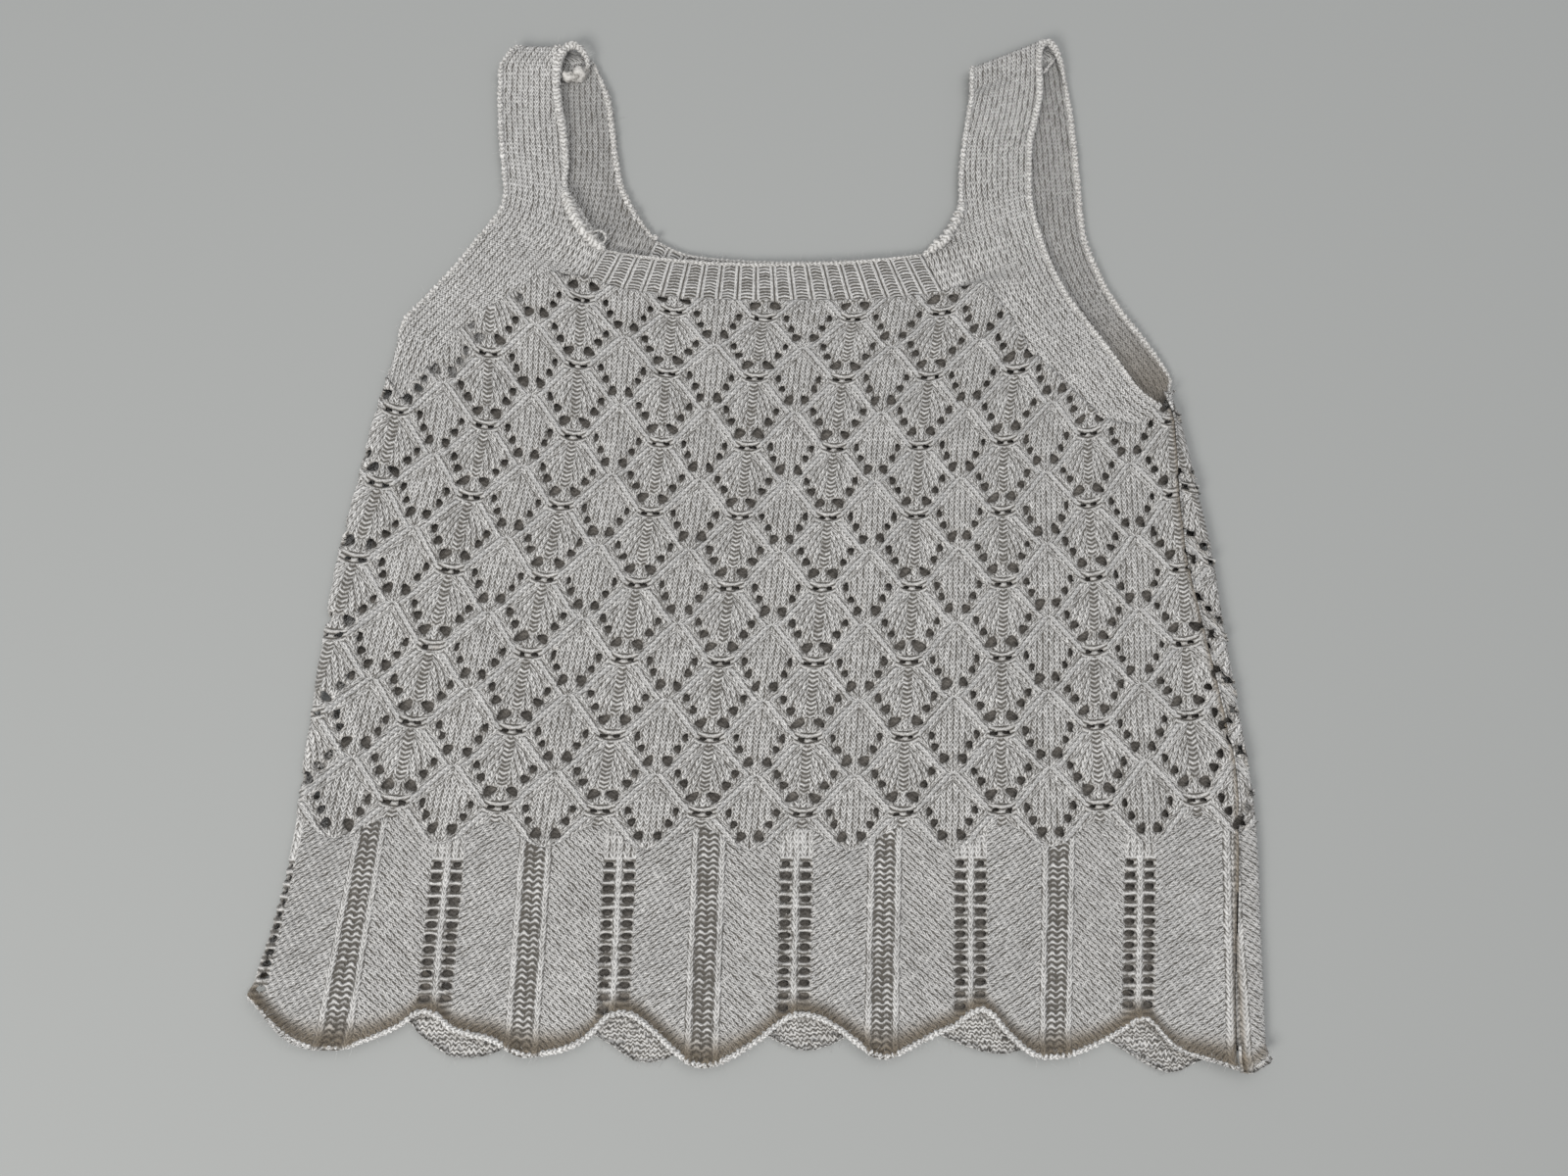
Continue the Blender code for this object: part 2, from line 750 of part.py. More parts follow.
def back_outline():
    x0 = left_cut_back(-180.0)
    x1 = right_cut(-210.0)
    turned = round_fold(right_axis, -208.0, 1)
    loop = hem_line(BACK_HEM, x0, x1, 6.0, turned)
    loop += [(right_cut(y), y) for y in (*SEAM_STEPS, 94.4)]
    top = top_edge(BACK_LEFT, BACK_NECK, BACK_RIGHT, 1)
    turned = np.array(round_fold(right_axis, 98.5, 1))
    loop += [(x, 97.4) for x in turned[turned > top[0][0] + 0.3][::-1]]
    loop += top
    left = [(left_cut_back(y), y) for y in np.arange(97, -178, -14.0)]
    return loop + left


def left_cut_back(y):
    return left_axis(y) + WRAP + SEAM


def fold_lines(axis, way, low, high, turns, rises):
    """Lines along a side fold, round it and before it."""
    lines = []
    offsets = [HALF_TURN * t for t in turns]
    offsets += [-FOLD_RISE * t for t in rises]
    for off in offsets:
        ys = np.arange(low, high, 13.0)
        lines.append([(axis(y) + way * off, y) for y in ys])
    return lines


def build():
    tone = (0.61, 0.59, 0.56)
    outline = front_outline()
    in_fold = (left_axis(60) + 1.0, 240.0)

    def on_top(hole):
        middle = np.mean(hole, 0)
        return middle[0] > left_axis(middle[1]) + 2.4 and in_fold[1] > middle[0]

    holes = lace_holes(0.0, 5, outline, on_top)
    holes += ladder_holes(outline, (1, 5, 9))
    form = fold_lines(left_axis, -1, -196, 98, TURNS, (0.5,))
    form += fold_lines(right_axis, 1, -208, 88, (0.0,), (0.5,))
    form.append(hem_line(FRONT_HEM, -218, 197, 9.0, up=HEM_CURL_WIDTH))
    lines = ridge_lines() + ladder_lines() + rib_lines()
    lay, relief = lay_front, front_relief
    panel("front_panel", outline, holes, lines, form, relief, lay, tone)

    outline = back_outline()

    def lies_flat(hole):
        middle = np.mean(hole, 0)
        return middle[0] < right_axis(middle[1]) - 4

    holes = lace_holes(BACK_SHIFT, 4, outline, lies_flat)
    form = fold_lines(right_axis, 1, -206, 98, TURNS, ())
    tone = (0.56, 0.54, 0.51)
    panel("back_panel", outline, holes, [], form, no_relief, lay_back, tone)

    def ribbed(i, j):
        return NECK_RIB_HIGH if i % 3 == 1 and j in (1, 2) else 0.0

    for name, data, every, shares, lay, relief, tone in (
        (
            "front_neckband",
            FRONT_NECK,
            1,
            (0.0, 0.08, 0.92, 1.0),
            lay_front,
            ribbed,
            (0.66, 0.63, 0.59),
        ),
        (
            "back_neckband",
            BACK_NECK,
            3,
            (0.0, 1.0),
            lay_back,
            no_relief,
            (0.52, 0.50, 0.47),
        ),
    ):
        edge, inner = neck_rail(data, "edge"), neck_rail(data, "inner")
        band(name, edge[::every], inner[::every], shares, lay, relief, tone)

    for name, data, side, tone in (
        ("strap_left_front", FRONT_LEFT, "left", (0.63, 0.60, 0.55)),
        ("strap_right_front", FRONT_RIGHT, "right", (0.63, 0.60, 0.55)),
    ):
        edge, inner = rail(data, "edge", 2), rail(data, "inner", 2)
        corners = np.flatnonzero(data["corner"] > 0)
        bound = range(int(corners[2]) * 2, int(corners[2]) * 2 + 4)
        top_edge, top_inner = edge[-1], inner[-1]
        more = [-FOLD_RISE * 0.3, *(HALF_TURN * np.arange(0, 1.01, 0.2))]
        more.append(HALF_TURN + STRAP_UNDER)
        for off in more:
            at = (strap_axis(side, p[0]) + off for p in (top_edge, top_inner))
            edge = np.vstack([edge, [top_edge[0], next(at)]])
            inner = np.vstack([inner, [top_inner[0], next(at)]])
        shares = STRAP_SHARES

        def bound_off(i, j, bound=bound, last=len(shares) - 1):
            return BINDING_HIGH if i in bound and j >= last - 1 else 0.0

        band(name, edge, inner, shares, lay_front, bound_off, tone)

    for name, data, side, tone in (
        ("strap_left_back", BACK_LEFT, "left", (0.50, 0.48, 0.45)),
        ("strap_right_back", BACK_RIGHT, "right", (0.50, 0.48, 0.45)),
    ):
        edge, inner = rail(data, "edge", 1), rail(data, "inner", 1)
        skew = STRAP_TOPS[side]["skew"]
        top = FRONT_LEFT if side == "left" else FRONT_RIGHT
        ends = []
        for which in ("edge_x", "inner_x"):
            x = float(top[which][-1])
            ends.append([x + skew, strap_axis(side, x) - STRAP_UNDER - SEAM])
        edge = np.vstack([edge, ends[0]])
        inner = np.vstack([inner, ends[1]])
        band(name, edge, inner, STRAP_SHARES, lay_back, no_relief, tone)


def stand_at_origin():
    """Moves the meshes so that the middle of the underside is the origin."""
    points = [v.co for body in TOP.objects for v in body.data.vertices]
    points = np.array([tuple(p) for p in points])
    low, high = points.min(0), points.max(0)
    shift = np.array([(low[0] + high[0]) / 2, (low[1] + high[1]) / 2, low[2]])
    for body in TOP.objects:
        for vertex in body.data.vertices:
            vertex.co = vertex.co - Vector(shift)


for old in list(bpy.data.objects):
    bpy.data.objects.remove(old)
TOP = bpy.data.collections.new("knit_top")
bpy.context.scene.collection.children.link(TOP)
build()
stand_at_origin()
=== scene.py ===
"""Looks of the knit top: lace, border, ribs, straps, seams and loose ends.

Tables and functions work in millimetres on the flat pattern, before the
sides and the strap tops fold over, and the finished meshes are in metres.
"""

import math

import bpy
import numpy as np
from mathutils import Matrix, Vector


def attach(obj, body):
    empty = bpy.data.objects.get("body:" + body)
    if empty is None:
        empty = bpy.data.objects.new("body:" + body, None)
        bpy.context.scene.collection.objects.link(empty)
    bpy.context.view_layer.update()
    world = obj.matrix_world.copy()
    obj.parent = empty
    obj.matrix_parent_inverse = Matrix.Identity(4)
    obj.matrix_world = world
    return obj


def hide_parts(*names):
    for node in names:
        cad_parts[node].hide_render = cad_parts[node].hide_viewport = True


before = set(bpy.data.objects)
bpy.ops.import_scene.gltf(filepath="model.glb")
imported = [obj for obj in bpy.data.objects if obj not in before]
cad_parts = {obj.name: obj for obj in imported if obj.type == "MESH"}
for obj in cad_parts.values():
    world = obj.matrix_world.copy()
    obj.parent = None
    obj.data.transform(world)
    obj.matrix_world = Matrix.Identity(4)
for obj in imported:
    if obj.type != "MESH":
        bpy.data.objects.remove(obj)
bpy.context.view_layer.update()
bpy.ops.object.select_all(action="DESELECT")

MM = 0.001
PLACE = np.array([5.7009, -35.4679, 0.0])  # pattern to the part's frame
HALF = 1.0  # half the thickness of a wall
BACK_MID = 1.0  # height of the middle of the back's wall
FRONT_MID = 3.4  # and of the front's, before it swells
FOLD = 2.4  # radius of a fold, to the middle of the wall
FOLD_OUT = 3.4
FOLD_MID = 3.4
FOLD_RISE = 22.0  # how far from a fold the front begins to swell
HALF_TURN = math.pi * FOLD
WRAP = 9.0  # front that lies under, past the left fold
STRAP_UNDER = 4.0  # strap that lies behind its fold, to its seam
ARM_TOP = 104.0  # above this the sides are open armholes
ARM_FADE = 60.0
REPEAT = (42.0, 33.0)  # one repeat of the lace, across and down
LACE_START = -0.62  # first row of the lace's chart, in repeats
LACE_END = 7.58
LACE_SHIFT = 0.4  # the back's lace lies off the front's, in repeats
LACE_SPLIT = 3.42  # row where the front's lace is two pieces
LACE_FOOT = (7.37, 0.15)  # row of the lace's lower edge, and its swing
FOOT_PITCH = 44.9  # from repeat to repeat there
BORDER_REPEAT = 76.6
BORDER_SHIFT = -0.32  # the back's border lies off the front's, in repeats
BORDER_DEEP = 115.0
BORDER_TOP = -120.0
BORDER_FOOT = -185.0
RIB_LINE = 38.3  # the middle of a rib, from the ladders beside it
SEAM_LINE = 41.0  # the right side seam, from the last ladder
BACK_FLAP = 2.8755  # line of the back where its flap's chart turns round
STITCH = (2.72, 2.05)  # a stitch of the plain knit, across and along
EYELET_CUT = 0.70  # share of an eyelet's radius where cloth is taken out
SQUARENESS = 2.6  # of the border's eyelets, where 2 would be round
LADDER_ROW = 5.05  # from one eyelet of a ladder to the next
LADDER_EYELET = (4.7, 2.9)
LADDER_SIDE = 4.45  # from the middle of a ladder to its eyelets
LADDER_TOP = -123.5
NECK_RIBS = 19
SEAM_GAP = 0.2  # half of what is between two neighbours
ROLL = ((0.35, 0.16), (0.8, 0.10), (1.25, -0.2))  # down and out, in turn
RNG = np.random.default_rng(11)


def table(names, *rows):
    """Rows of numbers as named columns."""
    return dict(zip(names.split(), np.array(rows, float).T, strict=True))


SIDES = table(
    "y left right seam",
    (-214, -229.5, 211.4, 197.6),
    (-176, -225.8, 212.6, 199.3),
    (-152, -220.0, 213.2, 201.2),
    (-112, -212.8, 214.4, 204.4),
    (-89, -211.0, 213.2, 205.4),
    (-46, -207.6, 208.6, 199.6),
    (-12, -204.6, 204.8, 193.5),
    (18, -201.0, 202.0, 188.6),
    (46, -195.6, 197.4, 186.9),
    (70, -191.4, 193.4, 186.6),
    (86, -188.0, 190.2, 185.6),
    (97, -185.4, 187.6, 181.6),
    (104, -183.6, 191.0, 178.0),
    (112, -182.0, 197.0, 174.0),
    (190, -167.0, 210.0, 150.0),
)
LACE = table(
    "row mid_x mid_y pitch bow",
    (-1, -5.8, 163.5, 44.4, 1.90),
    (0, -9.7, 131.4, 43.1, 1.60),
    (1, -13.6, 101.3, 41.7, 0.90),
    (2, -16.9, 67.3, 40.6, 0.75),
    (3, -20.5, 34.1, 41.1, 0.66),
    (4, -24.6, 0.7, 42.2, 0.56),
    (5, -28.9, -33.8, 43.0, 0.55),
    (6, -33.0, -68.0, 43.8, 0.55),
    (7, -36.2, -100.6, 44.6, 0.35),
    (8, -39.4, -133.2, 45.3, 0.20),
)
LACE_TILT = -0.6
# Lines of the border, in repeats: ladders at whole numbers, ribs between.
BORDER = table(
    "line top foot",
    (-3.5, -254.0, -266.0),
    (-3.0, -216.5, -227.5),
    (-2.5, -181.1, -189.0),
    (-2.0, -146.2, -149.2),
    (-1.5, -108.6, -111.0),
    (-1.0, -71.9, -73.4),
    (-0.5, -33.2, -34.9),
    (0.0, 5.5, 4.0),
    (0.5, 44.7, 42.4),
    (1.0, 83.1, 81.2),
    (1.5, 122.5, 118.7),
    (2.0, 159.7, 155.5),
    (2.5, 199.0, 196.0),
    (3.0, 238.0, 234.0),
    (3.5, 277.0, 273.0),
)
FRONT_HEM = table(
    "x y",
    (-262, -150), (-232.9, -167.6), (-225.7, -176.4), (-218.6, -184.4),
    (-213.3, -189.9), (-207.3, -194.7), (-199.8, -197.9), (-192.1, -198.8),
    (-184, -198.5), (-176, -195.8), (-168.1, -192.7), (-161.3, -189.3),
    (-157.4, -186.1), (-152.6, -184.6), (-147.6, -186.2), (-142.4, -190.6),
    (-133.2, -193.9), (-123.7, -196.3), (-116.5, -200), (-110.7, -202.4),
    (-103.3, -202.1), (-93, -200.2), (-85.3, -196.7), (-80.4, -192.4),
    (-76.4, -188.1), (-71.4, -186.1), (-66, -186.6), (-60.5, -189.8), (-53.7, -195.5),
    (-46.1, -202.3), (-40.2, -206.3), (-34.3, -207.6), (-26, -205.7), (-17.7, -201.4),
    (-10.1, -196.7), (-3.4, -191.6), (2.5, -188), (8.5, -187.2), (15.2, -188.9),
    (23.7, -193.4), (31.3, -199.1), (37.2, -203.2), (42.7, -204.9), (49.5, -203.3),
    (58.5, -199), (67.1, -195.1), (74.9, -191.9), (80.2, -187.9), (85.4, -185.9),
    (90.1, -188), (95.5, -194.1), (102.1, -200.7), (108.5, -204.8), (114.9, -205.6),
    (123.5, -204.9), (132.3, -202.2), (141.1, -198.2), (149.2, -193.8), (153.7, -191),
    (158.1, -190.3), (162.3, -193.6), (167.2, -199.3), (173.9, -203.9), (180.7, -206),
    (188.4, -208.1), (197.9, -211), (210, -212.8), (240, -205),
)
BACK_HEM = table(
    "x y",
    (-250, -176), (-179.4, -183.5), (-166.9, -187.6), (-158.1, -189.6),
    (-153.4, -194.1), (-147.4, -198.9), (-140.6, -202.5), (-133.2, -203),
    (-125.1, -201.9), (-117, -198.4), (-100.7, -190.6), (-88.1, -192.3),
    (-78.9, -195.6), (-72.9, -199.2), (-66.2, -203.7), (-58.6, -205.8), (-52, -205),
    (-45.3, -202.3), (-29.5, -192.9), (-7.5, -195.5), (-0.7, -198.8), (6.5, -201.3),
    (13.7, -201.3), (21.3, -199), (34.1, -193.5), (55.6, -192.1), (68.3, -196.3),
    (74.7, -198.8), (81.1, -201.2), (88.8, -203.3), (97.4, -203.8), (104.3, -201.9),
    (120.2, -195.1), (137.5, -196.9), (146, -201.1), (152.3, -204.8), (159.5, -209),
    (167.2, -212.3), (174.2, -211.2), (181.4, -208), (193.9, -204.9), (206, -203),
    (212, -205), (217.5, -209.5), (222.5, -212), (228, -212), (250, -205),
)
FRONT_LEFT = table(
    "edge_x edge_y inner_x inner_y corner",
    (-184.6, 98.5, -177.8, 87.6, 1),
    (-184.0, 108.0, -170.6, 96.6, 0),
    (-179.6, 122.5, -157.6, 114.0, 0),
    (-167.4, 138.8, -146.6, 128.0, 0),
    (-155.2, 155.0, -128.0, 141.4, 0),
    (-147.2, 166.4, -113.4, 151.6, 0),
    (-140.2, 176.4, -94.4, 149.4, 1),
    (-135.8, 183.6, -86.4, 163.6, 1),
    (-134.2, 191.0, -97.0, 180.6, 0),
    (-134.6, 199.0, -105.6, 195.0, 0),
    (-136.4, 212.0, -105.8, 210.0, 0),
    (-137.8, 226.0, -108.0, 226.0, 0),
    (-138.8, 240.0, -110.6, 240.0, 0),
    (-139.0, 254.0, -113.0, 254.0, 0),
)
FRONT_RIGHT = table(
    "edge_x edge_y inner_x inner_y corner",
    (178.4, 91.4, 170.4, 80.6, 1),
    (171.6, 97.0, 156.0, 83.0, 0),
    (163.8, 108.6, 143.4, 92.8, 0),
    (155.6, 120.4, 132.0, 105.0, 0),
    (146.6, 132.6, 118.6, 117.8, 0),
    (138.0, 145.0, 109.0, 135.0, 0),
    (131.6, 158.0, 96.4, 150.8, 0),
    (127.2, 170.0, 77.2, 146.6, 1),
    (124.6, 180.0, 67.4, 165.2, 1),
    (122.4, 190.0, 78.6, 175.8, 0),
    (121.5, 200.0, 86.4, 189.0, 0),
    (121.8, 212.0, 87.6, 207.0, 0),
    (123.0, 226.0, 89.6, 224.0, 0),
    (126.6, 242.0, 92.0, 238.0, 0),
    (129.2, 258.0, 94.0, 251.0, 0),
)
BACK_LEFT = table(
    "edge_x edge_y inner_x inner_y corner",
    (-171.4, 98.0, -162.8, 88.0, 1),
    (-169.6, 107.0, -155.0, 99.0, 0),
    (-164.6, 122.0, -143.0, 114.0, 0),
    (-153.0, 138.8, -132.6, 128.0, 0),
    (-140.6, 155.0, -113.6, 141.4, 0),
    (-132.8, 166.4, -98.6, 152.6, 0),
    (-126.0, 176.4, -70.6, 154.0, 1),
    (-121.6, 183.6, -62.4, 170.4, 1),
    (-119.4, 191.0, -71.8, 183.0, 0),
    (-118.4, 199.0, -79.0, 197.0, 0),
    (-118.0, 212.0, -82.2, 212.0, 0),
    (-118.4, 226.0, -84.2, 226.0, 0),
    (-119.8, 244.0, -87.0, 244.0, 0),
    (-120.0, 262.2, -94.0, 263.0, 0),
)
BACK_RIGHT = table(
    "edge_x edge_y inner_x inner_y corner",
    (187.4, 98.6, 180.4, 88.0, 1),
    (186.8, 107.0, 172.6, 98.0, 0),
    (175.8, 124.0, 160.4, 113.4, 0),
    (166.6, 136.6, 149.0, 128.0, 0),
    (159.2, 148.4, 131.6, 141.4, 0),
    (153.6, 161.0, 117.6, 152.6, 0),
    (149.8, 171.6, 92.6, 153.6, 1),
    (147.8, 181.0, 84.8, 170.0, 1),
    (147.2, 190.0, 94.0, 183.0, 0),
    (146.8, 200.0, 104.0, 196.0, 0),
    (146.2, 212.0, 108.4, 210.0, 0),
    (145.6, 226.0, 109.0, 224.0, 0),
    (144.0, 248.0, 109.4, 246.0, 0),
    (141.2, 275.4, 106.0, 259.2, 0),
)
FRONT_NECK = table(
    "edge_x edge_y inner_x inner_y corner",
    (-86.0, 163.4, -94.0, 149.0, 1),
    (-70.7, 160.8, -76.0, 143.6, 0),
    (-47.0, 158.6, -49.0, 140.4, 0),
    (-19.0, 158.0, -20.0, 139.6, 0),
    (0.0, 158.6, 1.0, 140.2, 0),
    (28.5, 160.0, 30.0, 141.0, 0),
    (47.7, 162.2, 50.0, 142.4, 0),
    (67.0, 165.0, 76.8, 146.2, 1),
)
BACK_NECK = table(
    "edge_x edge_y inner_x inner_y corner",
    (-62.0, 170.2, -70.2, 153.6, 1),
    (-46.8, 163.2, -52.0, 146.6, 0),
    (-24.6, 160.6, -28.0, 143.2, 0),
    (0.0, 160.4, -2.0, 142.6, 0),
    (28.5, 161.6, 30.0, 143.2, 0),
    (52.0, 163.6, 56.0, 145.6, 0),
    (84.4, 169.8, 92.2, 153.2, 1),
)
# Cords that stand out: radius, pitch of the lumps, then places in millimetres.
CORDS = {
    "left_arch": (2.1, 3.4, (-106.2, 206, 4.2), (-107.2, 219, 4.6), (-109.6, 234, 5),
        (-111.4, 245, 5.6), (-111.8, 253.2, 6.2), (-111, 260.6, 6.6),
        (-108.8, 267.1, 6.6), (-104.6, 270.4, 6.2), (-100.8, 269, 5.6), (-97.8, 265, 5),
        (-96.6, 259.5, 4.2)),
    "left_lump": (3.3, 9.0, (-110, 255.4, 3), (-106.4, 255.2, 3.2), (-102.4, 256, 3.2),
        (-98.8, 258, 3), (-97, 261, 2.6)),
    "right_arch": (1.7, 3.2, (121.4, 215.7, 4.2), (122.8, 229, 4.6),
        (126.2, 242.5, 5.2), (128.2, 253, 5.8), (128.2, 266.3, 6.2),
        (128.5, 273.9, 6.2), (130.3, 279, 6), (133.4, 281.3, 5.8),
        (136.8, 278.8, 5.2), (139.1, 273.8, 4.6), (140.8, 267.8, 4), (142, 260.3, 3)),
    "right_strand": (0.8, 3.0, (130.7, 264.5, 4), (133.9, 268.9, 4), (137.6, 274, 4)),
    "left_binding": (2.9, 4.0, (-107.1, 194.6, 5.2), (-104.9, 189, 5.8),
        (-102.3, 183, 6), (-98.9, 176.5, 6), (-95, 171.1, 6), (-90.2, 166.7, 5.8),
        (-85.5, 163.4, 5.2)),
    "left_loop": (0.62, 9.0, (-92.4, 168.9, 6.2), (-91.6, 171.4, 7),
        (-88.9, 172.1, 7.4), (-86.2, 171, 7.4), (-85.4, 168.6, 7),
        (-86.6, 166.6, 6.4), (-89.5, 166.4, 6.2)),
    "right_binding": (2.4, 3.8, (88.3, 193, 5), (84.7, 184.2, 5.6), (80.2, 175.8, 5.8),
        (74.2, 169.5, 5.8), (67.4, 164.4, 5.2)),
    "right_lump": (2.2, 3.6, (80.4, 175.2, 7), (78, 171.8, 7.4), (75.6, 168.8, 6.8)),
    "back_tuft": (1.1, 2.4, (-71.9, 179.4, 2.8), (-72.5, 182.7, 3.4),
        (-73.0, 186.4, 3)),
    "back_knot": (1.3, 2.4, (-63.0, 173.2, 2.8), (-61.2, 170.2, 3.0)),
}
STRAP_CORDS = {
    "strap_left_front_knit": ("left_arch", "left_lump", "left_binding", "left_loop"),
    "strap_right_front_knit": (
        "right_arch", "right_strand", "right_binding", "right_lump"
    ),
    "strap_left_back_knit": ("back_tuft", "back_knot"),
}
STRAP_TOPS = {
    "left": {"x": -125.0, "y": 267.0, "slope": 0.03, "skew": 19.0, "tuck": 6.0},
    "right": {"x": 98.4, "y": 265.6, "slope": 0.46, "skew": 12.0, "tuck": 0.0},
}
# Eyelets of one repeat: which diamond they belong to, their place from its
# middle in repeats, their size in millimetres and their lean in degrees.
EYELETS = table(
    "diamond across down wide high lean",
    (0, 0.285, 0.000, 2.9, 3.8, 10),
    (0, 0.212, 0.150, 3.8, 3.6, 20),
    (0, 0.112, 0.312, 5.7, 4.0, 32),
    (1, 0.238, 0.015, 2.5, 4.0, 0),
    (1, 0.180, 0.170, 3.1, 3.6, -18),
    (1, 0.094, 0.332, 4.0, 4.8, -28),
    (0, 0.064, 0.530, 3.4, 1.6, -6),
)


def lace_foot(column):
    """Row at which the lace meets the border, under bars and crossings."""
    middle, swing = LACE_FOOT
    return middle - swing * np.cos(2 * np.pi * column)


def smooth_run(a, b, slope_a, slope_b, t):
    """Between a and b with the slopes given there, at the share t."""
    return (
        a * (1 + 2 * t) * (1 - t) ** 2
        + b * t * t * (3 - 2 * t)
        + slope_a * t * (1 - t) ** 2
        - slope_b * t * t * (1 - t)
    )


def curve(data, where, column, at):
    """The column as a smooth curve over the column named by where."""
    x, y = data[where], data[column]
    slope = np.gradient(y, x)
    at = np.clip(np.asarray(at, float), x[0], x[-1])
    i = np.clip(np.searchsorted(x, at) - 1, 0, len(x) - 2)
    h = x[i + 1] - x[i]
    t = (at - x[i]) / h
    return smooth_run(y[i], y[i + 1], h * slope[i], h * slope[i + 1], t)


def ease(t):
    """0 to 1 without a jolt at either end."""
    t = np.clip(t, 0.0, 1.0)
    return t * t * (3 - 2 * t)


def bell(x, width):
    """1 where x is 0, and fading over the width."""
    return np.exp(-((x / width) ** 2))


def unit(vectors):
    """Each row at a length of 1."""
    return vectors / np.maximum(np.linalg.norm(vectors, axis=1), 1e-12)[:, None]


def lengths(path):
    """How far along the path each of its points is."""
    steps = np.linalg.norm(np.diff(path, axis=0), axis=1)
    return np.concatenate([[0], np.cumsum(steps)])


def places(path, at):
    """Points on the path at the lengths given."""
    far = lengths(path)
    return np.stack([np.interp(at, far, column) for column in path.T], 1)


def squares(rows, columns):
    """The faces of a grid of points."""
    k = np.arange(rows * columns).reshape(rows, columns)
    corners = k[1:, :-1], k[1:, 1:], k[:-1, 1:], k[:-1, :-1]
    return np.stack([corner.ravel() for corner in corners], 1)


def hem(data, x):
    """Height of the hem's edge at x."""
    return curve(data, "x", "y", x)


def left_axis(y):
    """Middle of the fold at the left side."""
    return curve(SIDES, "y", "left", y) + FOLD_OUT


def right_axis(y):
    """Middle of the fold at the right side."""
    return curve(SIDES, "y", "right", y) - FOLD_OUT


def strap_axis(x):
    """Height of the fold at the top of the strap on that side."""
    a, b = STRAP_TOPS["left"], STRAP_TOPS["right"]
    left = a["y"] + a["slope"] * (x - a["x"])
    return np.where(x < 0, left, b["y"] + b["slope"] * (x - b["x"]))


def front_height(x, y):
    """Middle of the upper layer, with its swellings and soft undulations."""
    open_arm = 1 - ease((y - ARM_TOP) / ARM_FADE)
    near = open_arm * ease(1 - (x - left_axis(y)) / FOLD_RISE)
    near = np.maximum(near, open_arm * ease(1 - (right_axis(y) - x) / FOLD_RISE))
    top = ease(1 - (strap_axis(x) - y) / FOLD_RISE)
    near = np.maximum(near, np.where(y > 200, top, 0.0))
    wave = 0.30 * np.sin(x / 31 + 0.8) * np.sin(y / 39 + 1.1)
    wave += 0.22 * np.sin(x / 17 - y / 23)
    return FRONT_MID + 0.25 + FOLD * near + wave * (1 - near)


def lay_front(x, y, out):
    """Place of points of the front's pattern, out from the wall's middle."""
    radius = FOLD + out
    axis = left_axis(y)
    turn = np.clip((axis - x) / FOLD, 0, np.pi)
    under = np.maximum(0.0, axis - x - HALF_TURN)
    side = x < axis
    top = strap_axis(x)
    over = y > top
    spin = np.clip((y - top) / FOLD, 0, np.pi)
    behind = np.maximum(0.0, y - top - HALF_TURN)
    shift = ease((y - top) / (HALF_TURN + STRAP_UNDER))
    skew = np.where(x < 0, STRAP_TOPS["left"]["skew"], STRAP_TOPS["right"]["skew"])
    px = np.where(side, axis - radius * np.sin(turn) + under, x)
    pz = np.where(side, FOLD_MID + radius * np.cos(turn), front_height(x, y) + out)
    px = np.where(over, x + skew * shift, px)
    py = np.where(over, top + radius * np.sin(spin) - behind, y)
    pz = np.where(over, FOLD_MID + radius * np.cos(spin), pz)
    return np.stack([px, py, pz], -1)


def lay_back(x, y, out):
    """Place of points of the back's pattern, which wraps round the right."""
    axis = right_axis(y)
    turn = np.clip((x - axis) / FOLD, 0, np.pi)
    beyond = (x > axis) & (y <= ARM_TOP)
    over = beyond & (x - axis > HALF_TURN)
    radius = FOLD + out
    fx = axis - (x - axis - HALF_TURN)
    px = np.where(beyond, axis + radius * np.sin(turn), x)
    pz = np.where(beyond, FOLD_MID - radius * np.cos(turn), BACK_MID - out)
    px = np.where(over, fx, px)
    pz = np.where(over, front_height(fx, y) + out, pz)
    return np.stack([px, y, pz], -1)


def lace_point(column, row):
    """Place on the pattern of points given in lace repeats."""
    mid_x = curve(LACE, "row", "mid_x", row)
    pitch = curve(LACE, "row", "pitch", row)
    y = curve(LACE, "row", "mid_y", row) + LACE_TILT * column
    y = y + curve(LACE, "row", "bow", row) * column**2
    return mid_x + pitch * column, y


def rail(data, which, steps):
    """One edge of a band as a smooth run, sharp where the table says."""
    run = np.stack([data[which + "_x"], data[which + "_y"]], 1)
    sharp = set(np.flatnonzero(data["corner"] > 0)) if which == "inner" else set()
    ends = sorted(sharp | {0, len(run) - 1})
    points = []
    for first, last in zip(ends, ends[1:], strict=False):
        part = run[first : last + 1]
        slope = np.gradient(part, axis=0)
        for k in range(last - first):
            for t in np.arange(steps) / steps:
                ends_here = part[k], part[k + 1], slope[k], slope[k + 1]
                points.append(smooth_run(*ends_here, t))
    points.append(run[-1])
    return np.array(points)


def even(points, count):
    """A run of points again, at an even spacing."""
    return places(points, np.linspace(0, lengths(points)[-1], count))


def panel_top(left, neck, right):
    """Upper edge of a panel, from the right underarm to the left one."""
    turn = int(np.flatnonzero(right["corner"] > 0)[1])
    first = rail(right, "inner", 6)[: turn * 6 + 1]
    turn = int(np.flatnonzero(left["corner"] > 0)[1])
    last = rail(left, "inner", 6)[: turn * 6 + 1][::-1]
    middle = rail(neck, "inner", 6)[::-1]
    return np.vstack([first, middle[1:-1], last])


def inside(x, y, loop):
    """Which points lie inside a closed loop."""
    found = np.zeros(x.shape, bool)
    a, b = loop, np.roll(loop, -1, 0)
    for (ax, ay), (bx, by) in zip(a, b, strict=True):
        if ay == by:
            continue
        crosses = (ay > y) != (by > y)
        found ^= crosses & (x < ax + (y - ay) / (by - ay) * (bx - ax))
    return found


